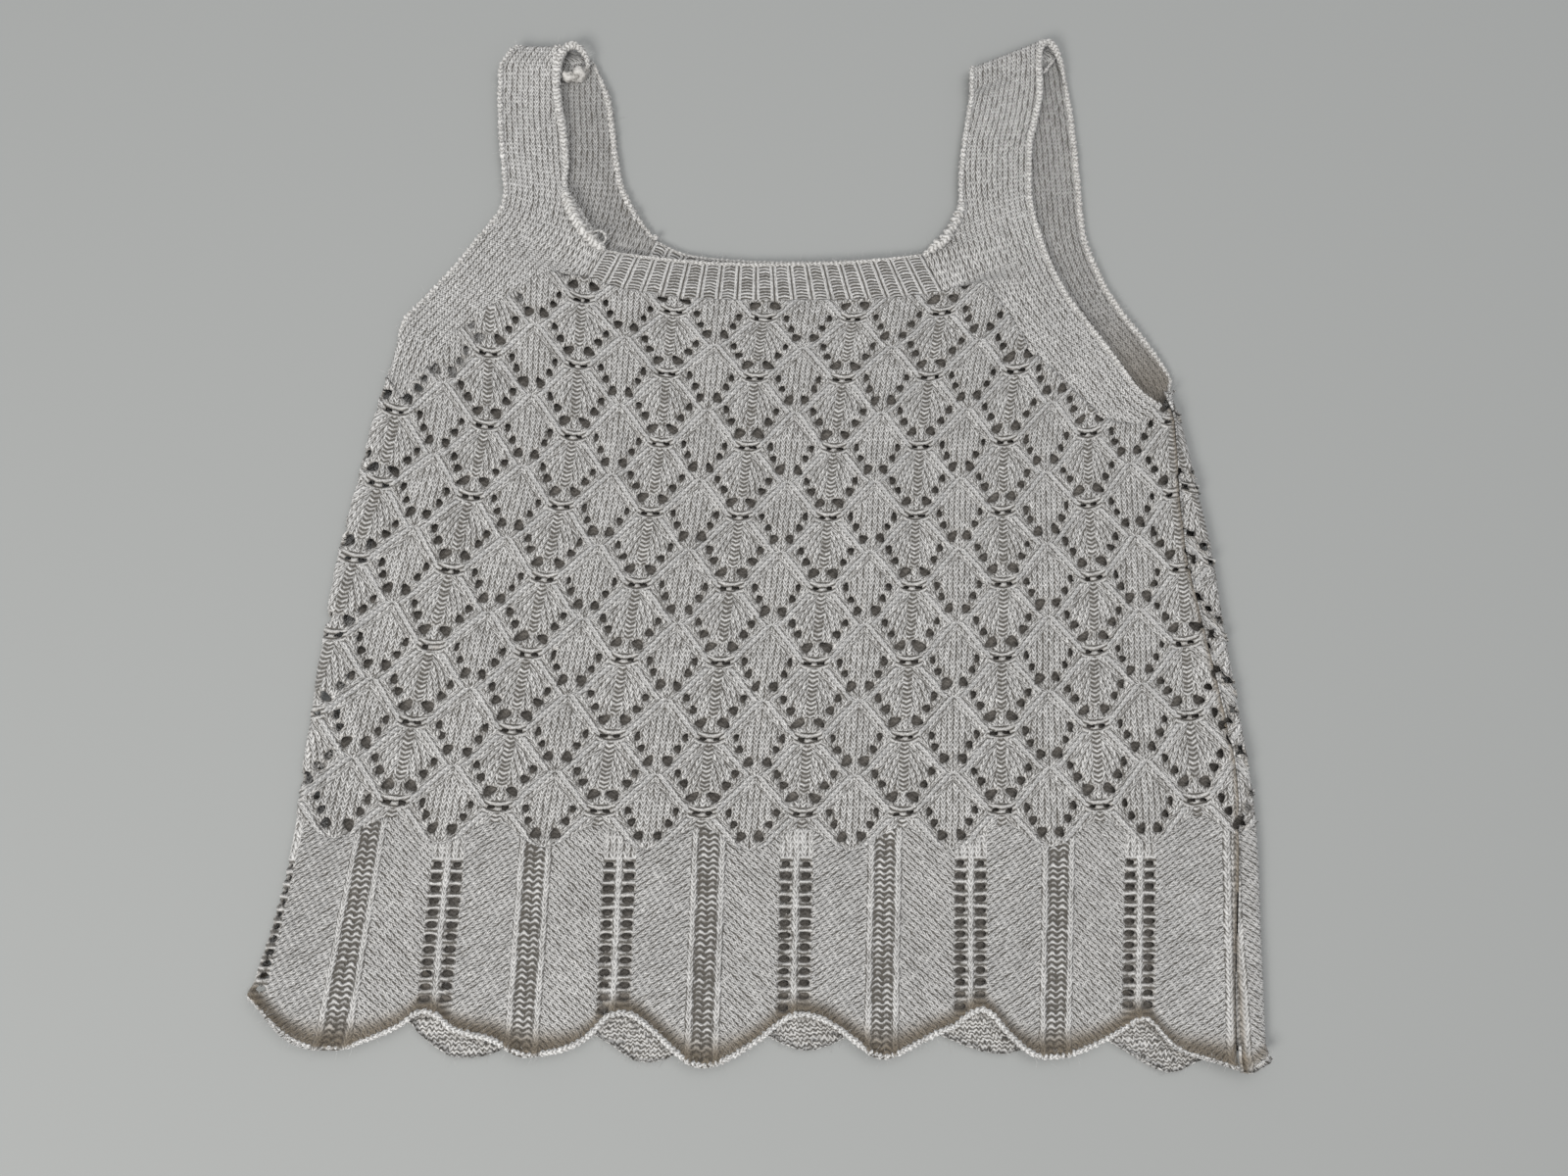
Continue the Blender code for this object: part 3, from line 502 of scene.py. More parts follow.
def nearest(points, loop):
    """The nearest point of a closed loop to each point."""
    best = np.full(len(points), np.inf)
    found = points.copy()
    for a, b in zip(loop, np.roll(loop, -1, 0), strict=True):
        run = b - a
        t = np.clip((points - a) @ run / max(run @ run, 1e-9), 0, 1)
        at = a + t[:, None] * run
        far = np.linalg.norm(points - at, axis=1)
        closer = far < best
        best[closer] = far[closer]
        found[closer] = at[closer]
    return found, best


class Cloth:
    """A fine sheet of cloth on the flat pattern, before it is laid."""

    def __init__(self, across, down):
        self.u, self.v = np.meshgrid(across, down)
        self.shape = self.u.shape
        self.faces = squares(*self.shape)
        self.u, self.v = self.u.ravel(), self.v.ravel()
        self.cut = np.zeros(len(self.u), bool)
        self.hole = np.full(len(self.u), -1)
        self.reach = np.full(len(self.u), np.inf)
        self.from_hole = np.zeros((len(self.u), 2))
        self.fixed = np.zeros(len(self.u), bool)
        self.middles = []

    def open_eyelet(self, u, v, wide, high, lean, scale):
        """Marks the cloth inside and round an eyelet, in millimetres."""
        columns = self.shape[1]
        corner = RNG.uniform(0, 2 * math.pi)
        far = 1.0 * max(wide, high)
        j = np.flatnonzero(np.abs(self.u[:columns] - u) * scale[0] < far)
        i = np.flatnonzero(np.abs(self.v[::columns] - v) * scale[1] < far)
        if not len(i) or not len(j):
            return
        k = (i[:, None] * columns + j[None]).ravel()
        dx, dy = (self.u[k] - u) * scale[0], (self.v[k] - v) * scale[1]
        c, s = math.cos(math.radians(lean)), math.sin(math.radians(lean))
        across, along = (dx * c + dy * s) * 2 / wide, (dy * c - dx * s) * 2 / high
        rho = np.hypot(across, along)
        rho /= 1 + 0.13 * np.cos(3 * np.arctan2(along, across) + corner)
        self.mark(k, rho, u, v, dx / scale[0], dy / scale[1])

    def mark(self, k, rho, u, v, du, dv):
        """Gives the points k to an eyelet, where no other one is nearer."""
        closer = (rho < 1.8) & (rho < self.reach[k])
        k, rho = k[closer], rho[closer]
        self.reach[k] = rho
        self.hole[k] = len(self.middles)
        self.from_hole[k] = np.stack([du[closer], dv[closer]], 1)
        self.middles.append((u, v))
        self.cut[k[rho < EYELET_CUT]] = True

    def rim(self):
        """Edges that only one face has, in that face's direction."""
        a = self.faces
        edges = np.concatenate([a[:, [k, (k + 1) % 4]] for k in range(4)])
        size = len(self.u) + 1
        keys = edges[:, 0] * size + edges[:, 1]
        back = edges[:, 1] * size + edges[:, 0]
        return edges[~np.isin(keys, back)]

    def draw_eyelets(self):
        """Takes the marked cloth out and rounds every eyelet's edge."""
        self.faces = self.faces[~self.cut[self.faces].any(1)]
        round_it = np.unique(self.rim())
        on_rim = np.zeros(len(self.u), bool)
        on_rim[round_it] = True
        on_rim &= (self.hole >= 0) & (self.reach < 1.6)
        near = (self.hole >= 0) & ~self.cut & ~self.fixed
        new = np.ones(len(self.u))
        new[near] = 1 + (self.reach[near] - EYELET_CUT) * 0.8 / 1.10
        new[on_rim] = 1.0
        middles = np.array(self.middles or [(0.0, 0.0)])
        ratio = np.where(near, new / np.maximum(self.reach, 1e-6), 1.0)
        at = middles[np.maximum(self.hole, 0)] + self.from_hole * ratio[:, None]
        self.su, self.sv = self.u.copy(), self.v.copy()
        self.u = np.where(near, at[:, 0], self.u)
        self.v = np.where(near, at[:, 1], self.v)
        self.drop = np.where(near, np.clip(1 - (new - 1) / 0.55, 0, 1) ** 2, 0.0)
        self.at_hole = on_rim

    def trim(self, x, y, loop):
        """Keeps what lies inside the loop and draws its edge onto it."""
        self.x, self.y = x, y
        middle_x, middle_y = x[self.faces].mean(1), y[self.faces].mean(1)
        self.faces = self.faces[inside(middle_x, middle_y, loop)]
        edge = np.unique(self.rim())
        edge = edge[~self.at_hole[edge]]
        at = np.stack([x[edge], y[edge]], 1)
        moved, far = nearest(at, loop)
        near = far < 2.0
        self.x, self.y = x.copy(), y.copy()
        self.x[edge[near]] = moved[near, 0]
        self.y[edge[near]] = moved[near, 1]


def rolled_rim(points, faces, edges):
    """Rolls the free edges over, so that the cloth shows its thickness."""
    a, b, c = (points[faces[:, k]] for k in range(3))
    flat = np.cross(b - a, c - a)
    normal = np.zeros_like(points)
    for k in range(faces.shape[1]):
        np.add.at(normal, faces[:, k], flat)
    normal = unit(normal)
    out = np.zeros_like(points)
    run = points[edges[:, 1]] - points[edges[:, 0]]
    away = unit(np.cross(run, normal[edges[:, 0]]))
    for k in (0, 1):
        np.add.at(out, edges[:, k], away)
    out = unit(out)
    verts = np.unique(edges)
    place = np.full(len(points), -1)
    place[verts] = np.arange(len(verts))
    total = len(points)
    rings, quads, before = [points], [faces], edges
    for down, forward in ROLL:
        rings.append(points[verts] - normal[verts] * down + out[verts] * forward)
        now = total + place[edges]
        total += len(verts)
        quads.append(np.stack([before[:, 1], before[:, 0], now[:, 0], now[:, 1]], 1))
        before = now
    return np.concatenate(rings), np.concatenate(quads), verts


def cloth_object(name, parts, material, second):
    """A smooth mesh of quads from parts: points, faces, map and shade.

    The parts after the first are of the second material.
    """
    mesh = bpy.data.meshes.new(name)
    first = np.cumsum([0] + [len(part[0]) for part in parts])
    faces = np.concatenate(
        [part[1] + start for part, start in zip(parts, first, strict=False)]
    )
    points, uv, shade = (
        np.concatenate([part[k] for part in parts]) for k in (0, 2, 3)
    )
    points = (points + PLACE) * MM
    points[:, 2] = np.maximum(points[:, 2], 0.0)
    used = np.unique(faces)
    place = np.full(len(points), -1)
    place[used] = np.arange(len(used))
    faces, points, uv, shade = place[faces], points[used], uv[used], shade[used]
    mesh.vertices.add(len(points))
    mesh.vertices.foreach_set("co", points.astype(np.float32).ravel())
    mesh.loops.add(faces.size)
    mesh.loops.foreach_set("vertex_index", faces.astype(np.int32).ravel())
    mesh.polygons.add(len(faces))
    starts = np.arange(len(faces), dtype=np.int32) * 4
    mesh.polygons.foreach_set("loop_start", starts)
    mesh.update(calc_edges=True)
    layer = mesh.uv_layers.new(name="chart")
    layer.data.foreach_set("uv", uv[faces.ravel()].astype(np.float32).ravel())
    tone = mesh.attributes.new("shade", "FLOAT", "POINT")
    tone.data.foreach_set("value", shade.astype(np.float32))
    mesh.polygons.foreach_set("use_smooth", np.ones(len(faces), bool))
    corded = np.arange(len(faces)) >= len(parts[0][1])
    mesh.polygons.foreach_set("material_index", corded.astype(np.int32))
    mesh.validate()
    mesh.update()
    body = bpy.data.objects.new(name, mesh)
    bpy.context.scene.collection.objects.link(body)
    body.data.materials.append(material)
    if len(parts) > 1:
        body.data.materials.append(second)
    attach(body, "root")
    return body


def rope(path, radius, pitch, shade=0.0, around=6, rows=STITCH[1]):
    """A lumpy cord along a path, such as the edge of knitting that curls."""
    end = lengths(path)[-1]
    count = max(4, int(end / 0.8))
    at = np.linspace(0, end, count)
    run = places(path, at)
    ahead = unit(np.gradient(run, axis=0))
    side = np.cross(ahead, np.array([0.0, 0.0, 1.0]))
    side[np.linalg.norm(side, axis=1) < 0.2] = (1.0, 0.0, 0.0)
    side = unit(side)
    up = np.cross(side, ahead)
    swell = 0.28 if pitch < 3.2 or pitch > 3.6 else 0.1
    lump = 1 + swell * np.cos(2 * np.pi * at / pitch + RNG.normal(0, 0.35, count))
    thick = radius * (lump + RNG.normal(0, 0.05, count))
    thick *= 0.5 + 0.5 * ease(np.minimum(at, end - at) / (0.2 * end))
    thick[[0, -1]] *= 0.35
    sway = RNG.normal(0, 0.07 * radius, (count, 3))
    angle = np.arange(around) * 2 * np.pi / around
    wide = side[:, None] * np.cos(angle)[None, :, None]
    tall = up[:, None] * np.sin(angle)[None, :, None]
    points = (run + sway)[:, None] + (wide + tall) * thick[:, None, None]
    k = np.arange(count * around).reshape(count, around)
    after = np.roll(k, -1, 1)
    quads = np.stack([k[:-1], k[1:], after[1:], after[:-1]], -1).reshape(-1, 4)
    turn = np.abs(np.arange(around) / around - 0.5) * 4
    chart = np.stack(np.broadcast_arrays(turn[None], at[:, None] / rows), -1)
    shades = np.full(count * around, float(shade))
    return points.reshape(-1, 3), quads, chart.reshape(-1, 2), shades


def fuzz(path, count):
    """Loose fibres that stand off an edge, so many to a millimetre."""
    end = lengths(path)[-1]
    count = max(2, int(end * count))
    root = places(path, RNG.uniform(0, end, count))
    way = unit(RNG.normal(0, 1, (count, 3)) * (1, 1, 0.45))
    bend = RNG.normal(0, 0.55, (count, 3)) * (1, 1, 0.5)
    long = RNG.uniform(1.6, 3.4, count)[:, None]
    corners = np.array([(1, 0, 0), (0, 1, 0), (-1, 0, 0), (0, -1, 0)]) * 0.045
    rings = []
    for t in (0.25, 0.65, 1.0):
        middle = root + long * t * (way + bend * t)
        rings.append(middle[:, None] + corners * (1.3 - t))
    points = np.stack(rings, 1).reshape(-1, 3)
    k = np.arange(4)
    after = np.roll(k, -1)
    sides = [np.stack([k, after, after + 4, k + 4], 1) + 4 * ring for ring in (0, 1)]
    caps = [np.array([[3, 2, 1, 0]]), np.array([[8, 9, 10, 11]])]
    one = np.concatenate([*sides, *caps])
    quads = (one[None] + 12 * np.arange(count)[:, None, None]).reshape(-1, 4)
    chart = np.repeat(RNG.uniform(0, 9, (count, 2)), 12, 0)
    return points, quads, chart, np.zeros(count * 12)


def cords(name):
    """The cords of thread that stand out on a strap."""
    made = []
    for cord in STRAP_CORDS.get(name, ()):
        radius, pitch, *path = CORDS[cord]
        around = 8 if radius > 1 else 6
        path = smooth(np.array(path, float))
        shade, rows = (0.30, 6.0) if radius > 3 else (0.12, STITCH[1])
        made.append(rope(path, radius, pitch, shade, around, rows))
        made.append(fuzz(path, 3.0))
    return made


def smooth(path):
    """More points along a path, on a smooth curve through its points."""
    k = np.arange(len(path))
    slope = np.gradient(path, axis=0)
    at = np.linspace(0, len(path) - 1, 12 * len(path))
    i = np.clip(at.astype(int), 0, len(path) - 2)
    t = (at - k[i])[:, None]
    return smooth_run(path[i], path[i + 1], slope[i], slope[i + 1], t)


def finish_cloth(
    name, cloth, lay, out, uv, shade, material, joined=None, more=(), covered=None
):
    """Lays a sheet, rolls its free edges and makes it one object.

    Edges between two joined points stay as they are: there the next sheet
    goes on. What is covered by the front gets the shaded yarn.
    """
    points = lay(cloth.x, cloth.y, out)
    edges = cloth.rim()
    if joined is not None:
        edges = edges[~joined[edges].all(1)]
    points, faces, verts = rolled_rim(points, cloth.faces, edges)
    again = [uv] + [uv[verts]] * len(ROLL)
    dark = [shade] + [shade[verts]] * len(ROLL)
    uv, shade = np.concatenate(again), np.concatenate(dark)
    parts = [(points, faces, uv, shade), *more]
    if covered is not None:
        hidden = np.concatenate([covered] + [covered[verts]] * len(ROLL))[faces].all(1)
        parts = [(points, faces[side], uv, shade) for side in (~hidden, hidden)]
    second = EDGE_YARN if covered is None else SHADED_YARN
    body = cloth_object(name, parts, material, second)
    return body


# ---------------------------------------------------------------- materials

OATMEAL = (0.655, 0.643, 0.620, 1)
WORN_OATMEAL = (0.600, 0.589, 0.568, 1)
# lighter yarn of the curled edges: partly their fuzz, partly a painted highlight where
# the curl faces the light
PALE_FUZZ_AND_HIGHLIGHT = (0.70, 0.690, 0.668, 1)
# painted shade: the back's straps are the same yarn, drawn darker as they lie in shade
BEHIND_SHADE = (0.46, 0.452, 0.436, 1)
SHADED = (0.270, 0.258, 0.243, 1)
HOLLOW_SHADE = (0.085, 0.077, 0.065, 1)  # painted shade between the strands
SHADE_TINT = (0.37, 0.315, 0.245, 1)  # painted shade: the tint for what the shade attribute marks


class Chart:
    """Short names for the sums that a knitting chart needs, as nodes."""

    def __init__(self, tree):
        self.tree = tree

    def node(self, kind, **inputs):
        """A new node, with its inputs set by name."""
        made = self.tree.nodes.new(kind)
        for name, value in inputs.items():
            self.plug(made.inputs[name], value)
        return made

    def plug(self, socket, value):
        """Sets an input to a number, or links it to another node."""
        if isinstance(value, bpy.types.NodeSocket):
            self.tree.links.new(value, socket)
        else:
            socket.default_value = value

    def sum(self, what, *values):
        """Any of the sums that a math node does."""
        made = self.tree.nodes.new("ShaderNodeMath")
        made.operation = what
        for socket, value in zip(made.inputs, values, strict=False):
            self.plug(socket, value)
        return made.outputs[0]

    def add(self, a, b):
        return self.sum("ADD", a, b)

    def less(self, a, b):
        return self.sum("SUBTRACT", a, b)

    def times(self, a, b):
        return self.sum("MULTIPLY", a, b)

    def size(self, a):
        """How far a value is from 0."""
        return self.sum("ABSOLUTE", a)

    def part(self, a):
        """What is left of a value over the whole number below it."""
        return self.sum("FRACT", self.add(a, 100.0))

    def off(self, a):
        """Signed distance from the nearest whole number."""
        return self.less(a, self.sum("ROUND", a))

    def step(self, a, low, high):
        """0 below low, 1 above high and smooth between."""
        made = self.tree.nodes.new("ShaderNodeMapRange")
        made.interpolation_type = "SMOOTHSTEP"
        self.plug(made.inputs[0], a)
        made.inputs[1].default_value = low
        made.inputs[2].default_value = high
        return made.outputs[0]

    def under(self, a, low, high):
        """1 below low, 0 above high and smooth between."""
        return self.less(1.0, self.step(a, low, high))

    def line(self, a, slope, start):
        """A straight line: start where a is 0."""
        return self.add(start, self.times(a, slope))

    def swing(self, a):
        """From -1 up to 1 over every whole number."""
        return self.less(self.times(self.part(a), 2.0), 1.0)

    def blend(self, share, a, b):
        """a where share is 0 and b where it is 1."""
        return self.add(self.times(self.less(1.0, share), a), self.times(share, b))

    def mix(self, share, a, b, kind="MIX"):
        """Two colours, mixed or multiplied."""
        made = self.node("ShaderNodeMix")
        made.data_type, made.blend_type = "RGBA", kind
        for socket, value in zip((0, 6, 7), (share, a, b), strict=True):
            self.plug(made.inputs[socket], value)
        return made.outputs[2]

    def noise(self, place, scale, detail=2.0):
        """Random hills, as a number and as a colour."""
        made = self.node("ShaderNodeTexNoise", Vector=place, Scale=scale)
        made.inputs["Detail"].default_value = detail
        return made.outputs

    def split(self, vector):
        return self.node("ShaderNodeSeparateXYZ", Vector=vector).outputs

    def join(self, x, y, z=0.0):
        return self.node("ShaderNodeCombineXYZ", X=x, Y=y, Z=z).outputs[0]


def new_group(name, inputs, outputs):
    """A node group with sockets of the kinds given by name."""
    kinds = {"number": "NodeSocketFloat", "vector": "NodeSocketVector"}
    kinds["colour"] = "NodeSocketColor"
    tree = bpy.data.node_groups.new(name, "ShaderNodeTree")
    for label, kind in inputs.items():
        tree.interface.new_socket(label, in_out="INPUT", socket_type=kinds[kind])
    for label, kind in outputs.items():
        tree.interface.new_socket(label, in_out="OUTPUT", socket_type=kinds[kind])
    begin = tree.nodes.new("NodeGroupInput")
    end = tree.nodes.new("NodeGroupOutput")
    return tree, begin.outputs, end.inputs


def place_group(chart, tree, **inputs):
    """A node group put to use, as what it gives out."""
    made = chart.tree.nodes.new("ShaderNodeGroup")
    made.node_tree = tree
    for name, value in inputs.items():
        chart.plug(made.inputs[name], value)
    return made.outputs


def knit_group():
    """Knit stitches: two leaning strands that meet in a V, one to a unit.

    Groove is how dark the line between two wales is, and Strand how far the
    strands of one wale stand apart.
    """
    tree, given, made = new_group(
        "knit_stitches",
        dict.fromkeys(("Across", "Along", "Seed", "Groove", "Strand"), "number"),
        {"Height": "number"},
    )
    c = Chart(tree)
    side = c.less(c.part(given["Across"]), 0.5)
    out = c.times(c.size(side), 2.0)
    lean = c.less(given["Along"], c.times(out, 1.15))
    strand = c.swing(lean)
    hollow = c.sum("POWER", c.size(strand), 1.6)
    odd = odd_stitch(c, c.times(given["Across"], 2.0), lean, given["Seed"])
    broken = c.sum("MINIMUM", c.less(1.45, c.times(odd, 0.75)), 1.0)
    broken = c.times(broken, c.line(hollow, 0.38, 0.62))
    line = c.times(c.step(out, 0.46, 0.98), given["Groove"])
    groove = c.less(1.0, c.times(line, broken))
    middle = c.line(c.step(out, 0.0, 0.30), 0.28, 0.72)
    high = c.less(1.0, c.times(hollow, given["Strand"]))
    high = c.times(c.times(groove, middle), high)
    c.plug(made["Height"], c.times(high, odd))
    return tree


def odd_stitch(c, across, along, seed):
    """No two strands are alike: a factor that differs from cell to cell."""
    cell = c.join(
        c.sum("FLOOR", c.add(across, 200.0)), c.sum("FLOOR", c.add(along, 200.0)), seed
    )
    odd = c.node("ShaderNodeTexWhiteNoise", Vector=cell)
    return c.line(odd.outputs[0], 0.62, 0.66)


def purl_group():
    """Purl bumps: strands that arch over each other, one to a unit."""
    tree, given, made = new_group(
        "purl_bumps",
        {"Across": "number", "Along": "number", "Seed": "number"},
        {"Height": "number"},
    )
    c = Chart(tree)
    turn = c.times(given["Across"], 2 * math.pi)
    arch = c.times(c.sum("COSINE", turn), 0.22)
    along = c.add(given["Along"], arch)
    strand = c.swing(along)
    round_it = c.less(1.0, c.sum("POWER", c.size(strand), 1.1))
    odd = odd_stitch(c, given["Across"], along, given["Seed"])
    c.plug(made["Height"], c.times(round_it, odd))
    return tree


def lace_group(knit, purl):
    """The lace chart: height of the yarn over one repeat and the next.

    Two kinds of diamond alternate. Those under the bars have a purl ladder
    and the others are plain. Chains of travelling stitches zigzag between
    them, from the ends of one bar to the crossing beside it.
    """
    tree, given, made = new_group(
        "lace_chart", {"Chart": "vector"}, {"Height": "number"}
    )
    c = Chart(tree)
    u, v = c.split(given["Chart"])[:2]
    seed = c.times(c.sum("FLOOR", c.add(c.times(u, 2.0), 100.0)), 7.3)
    du = c.size(c.off(u))
    vv = c.off(c.less(v, 0.02))
    below = c.step(vv, -0.002, 0.002)
    off_line = c.less(c.less(du, 0.15), c.times(c.size(vv), 0.70))
    off_chain = c.less(off_line, c.blend(below, -0.03, -0.085))
    chains = place_group(
        c,
        knit,
        Across=c.add(c.times(off_chain, 1 / 0.071), 0.5),
        Along=c.times(v, -20.0),
        Seed=seed,
        Groove=1.15,
        Strand=0.52,
    )["Height"]
    on_chains = c.under(c.size(off_chain), 0.100, 0.112)
    laddered = c.under(off_chain, -0.01, 0.01)
    fall = c.add(vv, c.less(1.0, below))
    lean = c.times(c.times(fall, 0.70), c.less(1.0, c.times(fall, 0.62)))
    plain = place_group(
        c,
        knit,
        Across=c.blend(laddered, c.times(u, 16.0), c.times(c.less(du, lean), 16.0)),
        Along=c.times(c.less(c.times(c.times(du, 0.5), laddered), v), 16.5),
        Seed=seed,
        Groove=1.15,
        Strand=0.66,
    )["Height"]
    bumps = place_group(
        c, purl, Across=c.times(u, 9.0), Along=c.times(v, -16.5), Seed=seed
    )["Height"]
    ladder = c.under(du, 0.042, 0.056)
    ladder = c.times(ladder, c.under(fall, 0.72, 0.78))
    plain = c.line(plain, 0.78, 0.04)
    high = c.blend(c.times(ladder, laddered), plain, c.line(bumps, 0.52, 0.08))
    middle = c.under(c.size(off_chain), 0.030, 0.042)
    chains = c.times(chains, c.line(middle, 0.85, 0.72))
    high = c.blend(on_chains, high, chains)
    near = c.times(c.under(du, 0.13, 0.16), c.under(c.size(vv), 0.070, 0.090))
    sag = c.times(c.times(du, du), 2.6)
    bar = c.less(c.times(c.add(c.add(vv, 0.02), sag), 16.0), 0.25)
    bar = c.swing(bar)
    bar = c.less(1.0, c.times(bar, bar))
    high = c.blend(near, high, c.times(bar, 0.56))
    c.plug(made["Height"], high)
    return tree


def border_group(knit, purl):
    """The border chart: ladder wales, slanting wales and purl ribs."""
    tree, given, made = new_group(
        "border_chart", {"Chart": "vector"}, {"Height": "number"}
    )
    c = Chart(tree)
    line, down = c.split(given["Chart"])[:2]
    last = c.step(line, 2.055, 2.065)
    off = c.blend(last, c.off(line), c.less(line, 2.0))
    mm = c.times(off, BORDER_REPEAT)
    apart = c.size(mm)
    right = c.step(off, -0.001, 0.001)
    to_rib = c.blend(last, c.less(RIB_LINE, apart), c.size(c.less(SEAM_LINE, apart)))
    apart = c.blend(last, apart, c.less(SEAM_LINE, to_rib))
    y = c.times(down, -10.0)
    lean_sine = c.blend(right, 0.67, 0.545)
    lean_cosine = c.blend(right, 0.743, 0.839)
    across = c.less(c.times(y, lean_cosine), c.times(apart, lean_sine))
    along = c.add(c.times(apart, lean_cosine), c.times(y, lean_sine))
    seed = c.times(c.sum("FLOOR", c.add(c.times(line, 2.0), 100.0)), 7.3)

    def stitches(group, across, wide, along, high, **strengths):
        """Stitches of a width and height in millimetres."""
        return place_group(
            c,
            group,
            Across=c.times(across, 1 / wide),
            Along=c.times(along, 1 / high),
            Seed=seed,
            **strengths,
        )["Height"]

    slant = stitches(knit, across, 2.15, along, 2.5, Groove=1.3, Strand=0.56)
    wale = stitches(knit, c.add(mm, 1.6), 3.2, y, 2.3, Groove=0.9, Strand=0.45)
    edge = c.blend(
        last,
        c.times(c.less(to_rib, 4.4), 1 / 3.1),
        c.times(c.less(to_rib, 0.8), 1 / 3.8),
    )
    edge = stitches(knit, edge, 1.0, y, 2.3, Groove=1.1, Strand=0.5)
    bumps = stitches(purl, to_rib, 4.4, y, 2.52)
    thread = c.sum("COSINE", c.times(y, 2 * math.pi * 2 / 5.25))
    thread = c.line(thread, 0.25, 0.40)
    open_row = c.under(y, -121.5, -119.5)
    wale = c.times(wale, 0.88)
    high = c.blend(c.times(c.step(apart, 1.5, 1.8), open_row), wale, thread)
    high = c.blend(c.step(apart, 6.9, 7.3), high, slant)
    edged = c.under(c.add(to_rib, c.times(last, 2.8)), 7.4, 7.7)
    high = c.blend(edged, high, c.times(edge, 0.88))
    dots = c.add(c.under(to_rib, 0.2, 1.3), c.step(to_rib, 2.6, 3.7))
    bumps = c.times(c.sum("POWER", bumps, c.line(dots, 1.3, 1.0)), 0.70)
    purled = c.times(c.under(to_rib, 4.0, 4.3), c.less(1.0, last))
    high = c.blend(purled, high, bumps)
    c.plug(made["Height"], high)
    return tree


def yarn_group():
    """Wool over a height: hollows darken in painted shade, strands fray, tones drift,
    and the shade attribute adds painted shade.
    """
    tree, given, made = new_group(
        "soft_yarn",
        {"Height": "number", "Shade": "number", "Place": "vector", "Light": "colour"},
        {"Colour": "colour", "Roughness": "number", "Height": "number"},
    )
    c = Chart(tree)
    fine = c.noise(given["Place"], 1500.0, 3.0)[0]
    drift = c.noise(given["Place"], 38.0, 4.0)[0]
    fleck = c.noise(given["Place"], 340.0)[0]
    high = c.blend(c.times(given["Shade"], 0.6), given["Height"], 0.55)
    high = c.add(high, c.times(c.less(fine, 0.5), 0.60))
    deep = c.mix(c.step(high, 0.13, 0.80), HOLLOW_SHADE, given["Light"])
    tone = c.line(drift, 0.24, 0.80)
    tone = c.add(tone, c.times(c.less(fleck, 0.5), 0.42))
    grey = c.node("ShaderNodeCombineColor", Red=tone, Green=tone, Blue=tone)
    lit = c.mix(1.0, deep, grey.outputs[0], "MULTIPLY")
    c.plug(made["Colour"], c.mix(given["Shade"], lit, SHADE_TINT, "MULTIPLY"))
    c.plug(made["Roughness"], c.line(fine, 0.12, 0.86))
    c.plug(made["Height"], high)
    return tree


def knitted(name, yarn, light, depth, draw):
    """A knitted cloth: draw gives the height from the pattern's map."""
    material = bpy.data.materials.new(name)
    material.use_nodes = True
    tree = material.node_tree
    c = Chart(tree)
    shader = tree.nodes["Principled BSDF"]
    chart = c.node("ShaderNodeUVMap")
    chart.uv_map = "chart"
    place = c.node("ShaderNodeTexCoord").outputs["Object"]
    shade = c.node("ShaderNodeAttribute")
    shade.attribute_name = "shade"
    amount = c.node("ShaderNodeVectorMath", Vector=c.noise(place, 240.0)["Color"])
    amount.operation = "SUBTRACT"
    amount.inputs[1].default_value = (0.5, 0.5, 0.5)
    high = draw(c, chart.outputs[0], amount.outputs[0])
    made = place_group(
        c, yarn, Height=high, Shade=shade.outputs["Fac"], Place=place, Light=light
    )
    bump = c.node("ShaderNodeBump", Height=made["Height"])
    bump.inputs["Strength"].default_value = 1.0
    bump.inputs["Distance"].default_value = depth
    c.plug(shader.inputs["Base Color"], made["Colour"])
    c.plug(shader.inputs["Roughness"], made["Roughness"])
    c.plug(shader.inputs["Normal"], bump.outputs[0])
    shader.inputs["Sheen Weight"].default_value = 0.25
    shader.inputs["Sheen Roughness"].default_value = 0.5
    shader.inputs["Specular IOR Level"].default_value = 0.25
    return material


def moved(c, chart, amount, by):
    """The map, pushed about so that no two stitches are alike."""
    scaled = c.node("ShaderNodeVectorMath", Vector=amount)
    scaled.operation = "MULTIPLY"
    scaled.inputs[1].default_value = by
    both = c.node("ShaderNodeVectorMath", Vector=chart)
    c.plug(both.inputs[1], scaled.outputs[0])
    return both.outputs[0]


KNIT, PURL = knit_group(), purl_group()
LACE_CHART = lace_group(KNIT, PURL)
BORDER_CHART = border_group(KNIT, PURL)
YARN = yarn_group()


def charted(group, by):
    """Draws a chart, with its stitches pushed about by this at most."""

    def draw(c, chart, amount):
        return place_group(c, group, Chart=moved(c, chart, amount, by))["Height"]

    return draw


def purled(by, slope, start):
    """Draws purl bumps, pushed about by this and softened."""

    def draw(c, chart, amount):
        u, v = c.split(moved(c, chart, amount, by))[:2]
        bumps = place_group(c, PURL, Across=u, Along=v, Seed=0.0)["Height"]
        return c.line(bumps, slope, start)

    return draw


def draw_plain(c, chart, amount):
    """Plain knitting, one stitch to a unit of the map."""
    u, v = c.split(moved(c, chart, amount, (0.45, 0.8, 0)))[:2]
    return place_group(
        c, KNIT, Across=u, Along=v, Seed=0.0, Groove=1.15, Strand=0.66
    )["Height"]


